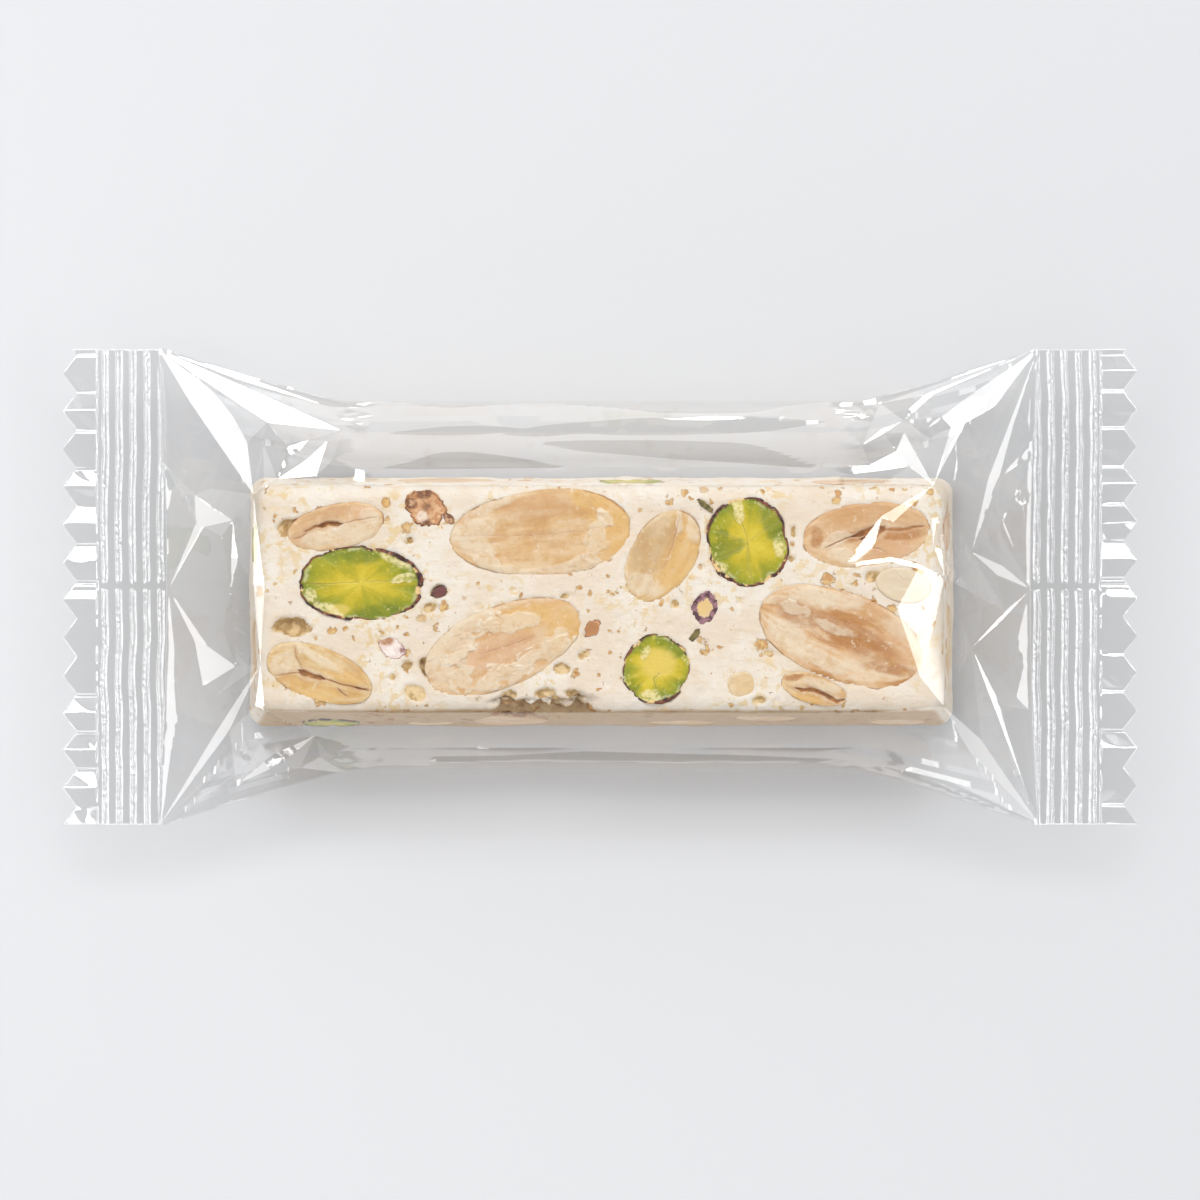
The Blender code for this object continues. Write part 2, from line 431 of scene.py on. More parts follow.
def nougatMaterial():
    # cream with clouds of yellow crumbs, golden bits with brown hearts, fine flecks and drawn-out fibres
    n = Nodes("creamyNougat")
    colour = n.mix(n.ramp(n.noise(6.0, 4.0, 0.6), 0.36, 0.66), "DFD0BC", "E5DDD1")
    fibre = n.noise(0.9, 4.0, 0.6, n.scaled((0.35, 1.3, 1.0), 0.7))
    colour = n.tint(colour, "D9C4A3", n.ramp(fibre, 0.56, 0.72), 0.5)
    warped = n.warped(1.0, 1.3)
    cloud = n.ramp(n.noise(6.5, 2.0, 0.5), 0.46, 0.62)
    crumbs = n.times(cloud, n.ramp(n.noise(1.4, 4.0, 0.65, warped), 0.51, 0.58))
    colour = n.tint(colour, "DABB79", crumbs, 0.62)
    # bits: uneven cells, only some of them filled, browner towards the heart;
    # size of the cells, how far a bit reaches in its cell, how few are filled, and a shift
    ragged = n.uneven(0.55, 3.0, 0.6, 0.42)
    spots, hearts = [], []
    for size, reach, few, shift in (
        (2.4, 0.24, 0.74, 0.0), (1.3, 0.24, 0.80, 0.0137), (3.8, 0.22, 0.70, 0.031),
    ):
        moved = n.add("ShaderNodeVectorMath", {0: warped, 1: (shift,) * 3}, operation="ADD").outputs[0]
        cell = n.add("ShaderNodeTexVoronoi", {"Vector": moved, "Scale": 1000 / size}).outputs
        chance = n.add("ShaderNodeSeparateColor", {0: cell["Color"]}).outputs[0]
        chosen = n.ramp(chance, few, few + 0.02)
        gap = n.math("ADD", cell["Distance"], ragged)
        spots.append(n.times(n.ramp(gap, reach + 0.03, reach - 0.03), chosen))
        hearts.append(n.times(n.ramp(gap, reach - 0.08, reach - 0.20), chosen))
    bits, brown = n.highest(*spots), n.highest(*hearts)
    bitColour = n.mix(n.ramp(n.noise(0.8, 3.0), 0.40, 0.60), "C08636", "D8B36C")
    colour = n.tint(colour, bitColour, bits, 0.85)
    brown = n.times(brown, n.ramp(n.noise(2.6, 2.0), 0.44, 0.56))
    colour = n.tint(colour, "965C28", brown, 0.8)
    flecks = n.ramp(n.noise(0.6, 2.0, 0.5, warped), 0.69, 0.74)
    colour = n.tint(colour, "B8803A", flecks, 0.65)
    # the insides of the holes; then painted shade: in the deep hollows of the torn edge, and on the slope
    # below the front edge, which faces away from the key light
    edge = n.uneven(0.7, 3.0, 0.55, 0.5)
    inside = n.mix(n.ramp(n.noise(1.0, 3.0), 0.42, 0.58), "B18D4C", "DDC18E")
    hole = n.ramp(n.math("ADD", n.value("hole"), edge), 0.44, 0.56)
    colour = n.tint(colour, inside, hole, 0.88)
    # painted shade in the deep hollows of the torn edge
    pocketShade = n.ramp(n.math("ADD", n.value("torn"), edge), 0.72, 0.92)
    colour = n.tint(colour, "B4935C", pocketShade, 0.65)
    # painted shade: the front face is darkened
    colour = n.mix(n.value("side"), colour, "D0B791", "MULTIPLY")
    grain = n.noise(0.35, 4.0, 0.65)
    normal = n.bump(fibre, 0.10, n.bump(grain, 0.05))
    normal = n.bump(n.noise(1.3, 4.0, 0.65), 0.20, normal)
    normal = n.bump(n.math("SUBTRACT", 1.0, bits), 0.12, normal)
    return n.finish(colour, n.ramp(grain, 0.3, 0.7, 0.5, 0.68), normal, 0.3)


# each cut nut: centre x and y, length and width, angle in degrees, how much the far end is pointed, and its
# kind; cracks: width, depth, then the places it runs through;
# patches: kind, x, y, half length, half width, angle
# the places of the nuts in the top are places on the bar; those of the side nuts are places on the nut
topNuts = {
    "almond_cleft_left": dict(
        at=(-34.15, 7.75), size=(12.5, 5.7), turn=11, point=-0.05, full=2.15, kind="almond", seed=1,
        cracks=[
            (0.32, 0.5, [(-38.2, 7.1), (-37.0, 7.5), (-35.8, 7.9), (-34.9, 8.1), (-33.4, 8.0)]),
            (0.62, 0.8, [(-36.2, 7.65), (-35.0, 8.05), (-34.3, 7.95), (-33.5, 7.95)]),
            (0.14, 0.25, [(-33.4, 8.0), (-31.0, 8.5), (-28.6, 8.95)]),
            (0.20, 0.3, [(-39.8, 6.4), (-38.6, 6.5), (-37.8, 7.0)]),
        ],
        patches=[
            ("tan", -36.0, 8.9, 3.6, 1.1, 22), ("pale", -32.4, 6.6, 3.4, 1.3, 10),
            ("tan", -38.2, 6.2, 1.6, 1.3, 0), ("pale", -36.4, 6.1, 1.9, 0.7, 0),
            ("rose", -32.0, 9.4, 2.6, 0.8, 5), ("pale", -29.7, 8.9, 1.2, 0.8, 0),
        ],
    ),
    "almond_split_left": dict(
        at=(-36.25, -11.25), size=(14.2, 6.7), turn=-20, point=0.06, kind="almond", seed=2, tone=0.9,
        cracks=[
            (0.62, 0.9, [(-39.1, -10.7), (-38.2, -11.1), (-36.7, -11.6), (-35.6, -11.9)]),
            (0.20, 0.4, [(-35.8, -11.9), (-33.5, -12.4), (-31.6, -13.0), (-30.0, -13.3)]),
            (0.16, 0.35, [(-38.6, -10.6), (-39.3, -9.2), (-39.5, -7.9)]),
            (0.14, 0.3, [(-38.8, -10.9), (-40.6, -11.2), (-42.3, -11.5)]),
            (0.26, 0.6, [(-31.6, -13.0), (-30.6, -13.3), (-29.9, -13.5)]),
            (0.20, 0.4, [(-33.9, -13.1), (-33.2, -13.7), (-32.7, -14.2)]),
        ],
        patches=[
            ("pale", -36.2, -9.4, 2.8, 0.55, -28), ("gold", -37.0, -13.2, 3.6, 1.2, -16),
            ("pale", -41.0, -9.8, 1.6, 1.1, 40), ("gold", -33.2, -11.4, 2.6, 0.8, -24),
            ("tan", -40.6, -12.3, 1.4, 0.7, -20),
        ],
    ),
    "almond_large_back": dict(
        at=(-7.75, 6.9), size=(23.2, 11.1), turn=4, point=-0.10, full=2.08, kind="almond", seed=3,
        tone=0.35,
        cracks=[
            (
                0.10, 0.10,
                [(-19.0, 6.5), (-16.4, 6.4), (-12.7, 6.6), (-8.0, 6.8), (-3.5, 7.2), (-0.4, 7.6)],
            ),
            (0.09, 0.10, [(-12.9, 6.6), (-14.4, 5.5), (-15.6, 4.0)]),
            (0.12, 0.12, [(-1.6, 10.9), (-0.4, 9.6), (0.8, 8.1)]),
        ],
        patches=[
            ("pale", -16.8, 7.2, 2.8, 1.3, 18), ("pale", -16.0, 4.9, 2.6, 1.2, -38),
            ("shard", -14.3, 2.9, 1.5, 0.9, -50), ("pale", -13.4, 10.9, 3.4, 0.7, 24),
            ("tan", -8.0, 10.3, 4.6, 1.3, 4), ("gold", 1.6, 8.3, 2.6, 4.6, 4),
            ("gold", -1.6, 11.4, 2.2, 1.2, -20), ("shard", -0.6, 6.0, 1.1, 2.5, -12),
            ("shard", -1.9, 3.1, 1.8, 0.8, 15), ("pale", -5.0, 2.4, 4.2, 0.6, 6),
            ("shard", 0.4, 8.7, 0.7, 1.0, 40), ("pale", -10.5, 2.0, 3.0, 0.5, -6),
        ],
    ),
    "almond_large_front": dict(
        at=(-12.55, -7.6), size=(21.4, 10.3), turn=23, point=0.06, full=2.05, kind="almond", seed=4,
        tone=0.15,
        cracks=[
            (0.10, 0.10, [(-22.2, -9.6), (-20.6, -9.3), (-19.4, -9.4)]),
            (0.10, 0.10, [(-14.4, -5.0), (-11.0, -5.0), (-7.5, -4.6)]),
            (0.12, 0.14, [(-15.4, -8.8), (-12.0, -7.6), (-8.6, -6.2)]),
        ],
        patches=[
            ("shard", -19.9, -6.9, 2.8, 2.5, 40), ("pale", -20.6, -11.0, 1.8, 1.4, -20),
            ("shard", -16.2, -4.6, 2.4, 1.5, 20), ("gold", -9.6, -3.7, 4.6, 1.3, 10),
            ("shard", -11.6, -4.4, 3.2, 1.0, 8), ("gold", -4.6, -5.6, 2.2, 2.8, 20),
            ("shard", -8.2, -8.9, 4.2, 0.9, 27), ("shard", -12.6, -11.4, 3.2, 1.1, 20),
            ("shard", -17.6, -12.2, 1.3, 1.3, 0), ("shard", -5.2, -7.2, 1.3, 1.6, 25),
            ("rose", -13.6, -8.5, 4.4, 1.8, 22), ("shard", -18.1, -9.0, 1.3, 0.6, 30),
        ],
    ),
    "almond_upright": dict(
        at=(7.95, 3.95), size=(12.8, 8.2), turn=58, point=-0.03, kind="almond", seed=5, tone=0.75,
        cracks=[
            (0.16, 0.2, [(10.0, 8.5), (9.5, 6.9), (8.9, 5.0), (8.4, 3.5), (7.6, 2.4)]),
            (0.10, 0.12, [(7.6, 2.4), (5.4, 1.5), (3.2, 0.7)]),
            (0.09, 0.10, [(7.4, 2.4), (6.7, 0.6), (6.0, -1.2)]),
        ],
        patches=[
            ("dim", 6.6, 5.3, 3.4, 2.4, 58), ("gold", 9.8, 3.4, 4.4, 1.9, 62),
            ("pale", 5.6, 0.2, 2.3, 1.2, -25), ("shard", 9.9, 8.3, 0.45, 1.3, 0),
            ("pale", 12.0, 7.6, 0.8, 1.6, 20),
        ],
    ),
    "almond_cleft_right": dict(
        at=(34.3, 6.75), size=(16.6, 8.1), turn=7, kind="almond", seed=6, tone=0.1,
        cracks=[
            (0.75, 1.0, [(32.6, 6.6), (34.2, 7.0), (35.4, 7.6), (36.4, 7.5), (35.4, 6.8), (33.8, 6.3)]),
            (0.20, 0.4, [(29.0, 5.0), (30.6, 5.7), (32.6, 6.6)]),
            (0.38, 0.4, [(36.4, 7.4), (38.8, 7.5), (41.6, 7.8)]),
            (0.16, 0.3, [(33.8, 6.1), (35.0, 5.2), (36.6, 4.4)]),
        ],
        patches=[
            ("tan", 31.6, 8.0, 3.0, 1.6, 20), ("brown", 33.2, 6.7, 2.2, 0.7, 15),
            ("rose", 37.6, 4.6, 2.8, 1.5, 10), ("tan", 36.6, 9.4, 4.6, 0.9, -8),
            ("pale", 30.4, 6.0, 1.8, 0.7, 25), ("brown", 39.0, 6.8, 2.6, 0.6, 5),
            ("pale", 31.4, 4.0, 2.2, 0.8, -10), ("brown", 27.9, 6.3, 0.6, 1.2, 0),
            ("tan", 39.8, 8.6, 1.8, 0.6, -10),
        ],
    ),
    "almond_striped": dict(
        at=(31.0, -6.35), size=(22.0, 11.3), turn=-20, point=-0.02, full=2.15, kind="almond", seed=7,
        tone=0.0, stripes=1.0,
        cracks=[
            (0.12, 0.12, [(24.4, -4.6), (26.6, -5.0), (28.4, -6.4), (30.6, -8.0)]),
            (0.10, 0.10, [(29.4, -4.0), (32.6, -5.2), (35.8, -7.0)]),
        ],
        patches=[
            ("brown", 25.8, -3.6, 3.2, 1.3, -22), ("brown", 33.0, -6.6, 5.6, 1.5, -30),
            ("pale", 24.0, -5.8, 2.4, 1.3, -25), ("pale", 29.4, -1.5, 4.4, 1.0, -6),
            ("pale", 28.4, -9.2, 3.6, 1.0, -24), ("rose", 37.8, -8.6, 2.6, 2.0, -40),
            ("shard", 24.6, -2.6, 1.6, 0.7, -15), ("brown", 37.2, -10.6, 3.2, 0.8, -12),
            ("pale", 30.0, -5.2, 2.4, 0.5, -24), ("tan", 35.0, -3.6, 3.2, 1.2, -30),
        ],
    ),
    "almond_small_front": dict(
        at=(27.6, -13.25), size=(8.8, 3.7), turn=-17, point=0.08, kind="almond", seed=8, tone=0.5,
        cracks=[
            (
                0.42, 0.8,
                [
                    (25.2, -13.0), (26.1, -13.4), (27.6, -13.5), (29.0, -14.0), (30.6, -14.7),
                    (31.5, -14.4),
                ],
            ),
        ],
        patches=[
            ("gold", 26.2, -14.4, 1.8, 0.8, -8), ("brown", 25.0, -11.7, 1.2, 0.4, 0),
            ("pale", 28.4, -12.8, 1.9, 0.6, -18),
        ],
    ),
    "almond_faint": dict(
        at=(39.1, 0.2), size=(7.2, 4.4), turn=-12, full=2.0, kind="almond", seed=9, tone=0.4, pale=0.7,
        cracks=[(0.16, 0.15, [(37.6, 2.2), (38.9, 1.0), (40.4, 0.6)])],
        patches=[("brown", 40.7, -0.9, 0.7, 0.7, 0), ("tan", 38.4, 1.2, 0.8, 0.4, 0)],
    ),
    "almond_chunk": dict(
        at=(18.1, -12.6), size=(3.6, 3.2), turn=10, full=2.4, kind="almond", seed=10, tone=0.9,
        pale=0.35, patches=[("gold", 18.3, -12.6, 1.2, 1.0, 0)],
    ),
    "pistachio_left": dict(
        at=(-30.9, 0.4), size=(15.7, 9.5), turn=-1, full=2.2, kind="pistachio", seed=11, lobes=8,
        phase=0.39,
        cracks=[(0.09, 0.12, [(-38.0, 0.5), (-34.0, 0.5), (-31.0, 0.6), (-27.0, 0.9), (-24.6, 0.9)])],
        patches=[
            ("pale", -26.4, 3.9, 1.9, 1.0, -20), ("pale", -35.4, -2.9, 1.6, 0.8, -30),
            ("gold", -34.0, -3.0, 1.3, 0.7, 0), ("shard", -25.2, 1.2, 1.0, 0.5, 20),
            ("dark", -30.8, 3.9, 2.0, 0.9, 0), ("dark", -28.8, -3.3, 2.4, 0.9, 12),
            ("pale", -37.5, -1.0, 0.6, 0.7, 0),
        ],
        skin=[(0.95, 0.6), (0.0, 0.8), (4.3, 0.35)],
    ),
    "pistachio_back": dict(
        at=(19.0, 5.75), size=(11.4, 10.3), turn=98, full=2.3, kind="pistachio", seed=12, lobes=6,
        cracks=[
            (0.10, 0.15, [(18.9, 5.6), (18.3, 8.0), (17.8, 10.4)]),
            (0.08, 0.12, [(18.9, 5.6), (16.6, 6.6), (14.6, 7.2)]),
            (0.08, 0.12, [(18.9, 5.6), (19.2, 3.2), (19.4, 0.8)]),
            (0.08, 0.10, [(19.0, 5.7), (21.5, 7.6), (23.2, 8.6)]),
            (0.08, 0.10, [(19.0, 5.6), (16.8, 4.4), (15.2, 3.8)]),
        ],
        patches=[
            ("dark", 22.2, 8.0, 1.0, 2.2, 30), ("dark", 16.4, 5.0, 1.9, 0.9, 20),
            ("shard", 17.8, 10.2, 0.5, 1.5, 8), ("pale", 15.4, 2.6, 1.0, 0.7, -30),
            ("dark", 15.6, 6.4, 0.7, 1.0, 0), ("pale", 23.2, 5.0, 0.5, 0.9, 10),
        ],
        skin=[(0.9, 0.5), (5.6, 0.7), (3.9, 0.6), (2.3, 1.0)],
    ),
    "pistachio_front": dict(
        at=(7.15, -10.6), size=(8.9, 8.5), turn=60, full=2.2, kind="pistachio", seed=13, lobes=7,
        phase=0.3, yolk=0.5, cracks=[(0.12, 0.2, [(7.8, -10.9), (6.8, -11.9), (7.2, -13.2)])],
        patches=[
            ("gold", 7.4, -9.8, 1.9, 1.5, 20), ("pale", 6.3, -14.0, 1.1, 0.7, 0),
            ("pale", 5.8, -8.6, 0.4, 0.9, -20),
        ],
        skin=[(1.3, 0.7), (3.9, 0.9), (6.0, 0.5)],
    ),
    "nut_brown": dict(
        at=(-22.4, 10.1), size=(5.4, 4.3), turn=-25, full=2.0, kind="brown", seed=14, ragged=0.22,
        cracks=[
            (0.75, 0.5, [(-22.5, 10.1), (-22.2, 10.3)]), (0.14, 0.2, [(-22.4, 10.4), (-22.9, 11.4)]),
        ],
        patches=[
            ("dark", -24.4, 10.8, 0.7, 0.8, 0), ("dark", -22.6, 11.9, 0.9, 0.4, 0),
            ("pale", -22.9, 8.8, 0.7, 0.8, 40), ("dark", -22.4, 8.0, 0.7, 0.35, 20),
        ],
    ),
    "nut_brown_bit": dict(
        at=(-19.6, 8.8), size=(1.7, 1.1), turn=-55, full=2.0, kind="brown", slot="crumb", seed=24,
        ragged=0.30, patches=[("dark", -19.6, 8.8, 1.0, 0.7, 0)],
    ),
    "nut_ring": dict(
        at=(13.45, -2.75), size=(4.4, 3.6), turn=78, full=2.0, kind="ring", seed=15, ragged=0.16,
        patches=[("gold", 13.25, -2.5, 1.15, 0.95, 0)],
    ),
    "nut_pink": dict(
        at=(-26.9, -7.9), size=(3.5, 2.6), turn=-20, full=2.0, kind="pink", seed=16, ragged=0.26,
        patches=[("brown", -27.7, -6.7, 0.9, 0.6, 20), ("dark", -25.6, -7.8, 0.4, 0.6, -20)],
    ),
    "nut_maroon": dict(
        at=(-20.8, -0.7), size=(2.1, 1.35), turn=20, full=2.0, kind="dark", seed=17, ragged=0.28,
    ),
    "nut_crack": dict(
        at=(-1.1, -5.4), size=(2.3, 1.7), turn=50, full=2.0, kind="brown", slot="crumb", seed=18,
        ragged=0.32, patches=[("brown", -1.1, -5.4, 1.0, 0.8, 0)],
    ),
    "nut_twig": dict(
        at=(13.5, 10.5), size=(2.2, 0.75), turn=-38, full=2.6, kind="twig", seed=19, ragged=0.38,
    ),
    "nut_twig_front": dict(
        at=(12.1, -6.3), size=(2.0, 0.8), turn=55, full=2.4, kind="twig", seed=20, ragged=0.38,
    ),
}

# nuts cut by the sides of the bar: which side, the place along it and the height, then as above
sideNuts = {
    "side_pistachio_front": dict(
        side="front", at=(-34.9, 4.6), size=(7.4, 6.2), turn=0, kind="pistachio", seed=31, lobes=6,
    ),
    "side_almond_front": dict(
        side="front", at=(-11.6, 6.4), size=(9.8, 6.6), turn=3, kind="almond", seed=32, tone=0.1,
    ),
    "side_almond_right": dict(
        side="front", at=(21.4, 9.4), size=(8.0, 5.4), turn=-4, kind="almond", seed=33, tone=0.1,
    ),
    "side_almond_pale": dict(
        side="front", at=(10.5, 5.2), size=(8.4, 3.4), turn=2, kind="almond", seed=34, tone=0.8,
    ),
    "side_almond_low": dict(
        side="front", at=(38.4, 5.6), size=(7.4, 4.6), turn=0, kind="almond", seed=35, tone=0.3,
    ),
    "side_almond_left": dict(
        side="front", at=(-22.0, 4.4), size=(6.0, 3.2), turn=0, kind="almond", seed=36, tone=0.6,
    ),
    "back_almond_right": dict(
        side="back", at=(32.4, 8.4), size=(10.8, 7.4), turn=2, kind="almond", seed=37, tone=0.0,
    ),
    "back_almond_left": dict(
        side="back", at=(-20.0, 6.4), size=(13.0, 7.0), turn=-6, kind="almond", seed=38, tone=0.4,
    ),
    "back_pistachio": dict(
        side="back", at=(4.0, 8.8), size=(9.0, 6.8), turn=10, kind="pistachio", seed=39, lobes=7,
    ),
    "left_pistachio": dict(
        side="left", at=(5.4, 9.6), size=(6.2, 8.4), turn=0, kind="pistachio", seed=40, lobes=6,
    ),
    "left_almond": dict(
        side="left", at=(-8.0, 8.6), size=(8.4, 5.0), turn=25, kind="almond", seed=41, tone=0.3,
    ),
    "right_nut": dict(
        side="right", at=(7.4, 9.6), size=(6.0, 8.0), turn=0, kind="almond", seed=42, tone=0.0,
        stripes=1.0,
    ),
    "right_almond": dict(
        side="right", at=(-7.0, 7.0), size=(9.6, 5.6), turn=-15, kind="almond", seed=43, tone=0.6,
    ),
}

nutSizes = {
    "spacing": 0.15,       # of the mesh on the cut face
    "depth": 2.2,          # how far a nut reaches into the bar
    "proud": 0.03,
    "topShare": 0.9924,    # draws the listed places in towards the middle
    "middle": (0.0, -1.7),
    "ringsUnder": 7,       # rings of the mesh below the cut face
}

# the marks on a cut face: how much each stands out, how far splinters move its edge, how soft that edge is,
# and how strong the painted highlight along its rim
patchKinds = {
    "pale": (0.07, 0.35, 0.22, 0.3),
    "shard": (0.11, 0.9, 0.05, 1.0),
    "gold": (0.0, 0.0, 0.35, 0.0),
    "tan": (0.03, 0.0, 0.35, 0.0),
    "rose": (0.0, 0.0, 0.35, 0.0),
    "dim": (0.0, 0.0, 0.35, 0.0),
    "brown": (-0.05, 0.0, 0.35, 0.0),
    "dark": (-0.04, 0.0, 0.35, 0.0),
}


def onTop(x, y):
    # a listed place drawn in to the bar's top
    share, middle = nutSizes["topShare"], nutSizes["middle"]
    return middle[0] + (x - middle[0]) * share, middle[1] + (y - middle[1]) * share


def nutFrames():
    # where each nut lies: its middle, the directions along it, across it and out of the bar
    frames = {}
    low, high = barSizes["low"], barSizes["high"]
    bottom, top = barSizes["bottom"], barSizes["top"]
    for name, nut in topNuts.items():
        turn = math.radians(nut["turn"])
        along = np.array([math.cos(turn), math.sin(turn), 0.0])
        across = np.array([-math.sin(turn), math.cos(turn), 0.0])
        middle = np.array([*onTop(*nut["at"]), high])
        frames[name] = (nut, middle, along, across, np.array([0, 0, 1.0]))
    # each side: the level direction along it, the axis that it faces, and its number in the lists of edges
    sides = {
        "front": ((1.0, 0, 0), 1, 2),
        "back": ((-1.0, 0, 0), 1, 3),
        "left": ((0, -1.0, 0), 0, 0),
        "right": ((0, 1.0, 0), 0, 1),
    }
    for name, nut in sideNuts.items():
        flat, axis, edge = sides[nut["side"]]
        upward = np.array([0.0, 0.0, high - low])
        upward[axis] = top[edge] - bottom[edge]
        upward = upward / np.linalg.norm(upward)
        place, height = nut["at"]
        wall = bottom[edge] + (top[edge] - bottom[edge]) * (height - low) / (high - low)
        origin = (place, wall, height) if axis == 1 else (wall, place, height)
        turn = math.radians(nut["turn"])
        along = math.cos(turn) * np.array(flat) + math.sin(turn) * upward
        across = math.cos(turn) * upward - math.sin(turn) * np.array(flat)
        frames[name] = (nut, np.array(origin, dtype=float), along, across, np.cross(along, across))
    return frames


def nutOutline(angle, nut):
    # an egg: half the length along the cosine and half the width along the sine, each drawn out a little
    # to a fuller shape, narrower to the pointed end, with an uneven edge
    length, width = nut["size"]
    full = nut.get("full", 2.1)
    ragged = nut.get("ragged", 0.042 if nut["kind"] == "pistachio" else 0.020)
    cosine, sine = np.cos(angle), np.sin(angle)
    swell = (np.abs(cosine) ** full + np.abs(sine) ** full) ** (-1 / full)
    wobble = 1 + ragged * flatNoise(2.2 * cosine, 2.2 * sine, 1.0, nut["seed"], 3)
    fine = 1 + 0.5 * ragged * flatNoise(9 * cosine, 9 * sine, 1.0, nut["seed"] + 4, 2)
    u = length / 2 * cosine * swell * wobble * fine
    v = width / 2 * sine * swell * wobble * fine * (1 - nut.get("point", 0.0) * cosine)
    return u, v


def nutGap(u, v, nut):
    # distance beyond a nut's outline on the line out from its middle, negative inside it
    angle = np.arctan2(v / nut["size"][1], u / nut["size"][0])
    edgeU, edgeV = nutOutline(angle, nut)
    return np.hypot(u, v) - np.hypot(edgeU, edgeV)


def nutSeats(points):
    # the nougat sinks under each nut, with a hair of a gap round parts of it and a low swell past that
    sink = np.zeros(len(points))
    for nut, origin, along, across, out in nutFrames().values():
        offset = points - origin
        near = (np.abs(offset @ out) < 1.6) & (np.linalg.norm(offset, axis=1) < max(nut["size"]))
        u, v = offset[near] @ along, offset[near] @ across
        gap = nutGap(u, v, nut)
        grooved = smooth(0.0, 0.5, flatNoise(u, v, 2.2, nut["seed"] + 60, 2))
        groove = 0.16 * grooved * bell(gap, 0.3)
        swell = 0.05 * bell(gap - 0.7, 0.5)
        seat = smooth(-0.15, -0.75, gap) * min(1.3, 0.3 * min(nut["size"]))
        sink[near] = np.maximum(sink[near], seat + groove - swell)
    return sink


def lineGap(x, y, places):
    # distance to a line through the places, and how far along it the nearest point is, 0 to 1
    nearest = np.full(x.shape, 1e3)
    along = np.zeros(x.shape)
    count = len(places) - 1
    for i, ((ax, ay), (bx, by)) in enumerate(zip(places[:-1], places[1:])):
        dx, dy = bx - ax, by - ay
        share = np.clip(((x - ax) * dx + (y - ay) * dy) / (dx * dx + dy * dy), 0, 1)
        gap = np.hypot(x - ax - share * dx, y - ay - share * dy)
        along = np.where(gap < nearest, (i + share) / count, along)
        nearest = np.minimum(gap, nearest)
    return nearest, along


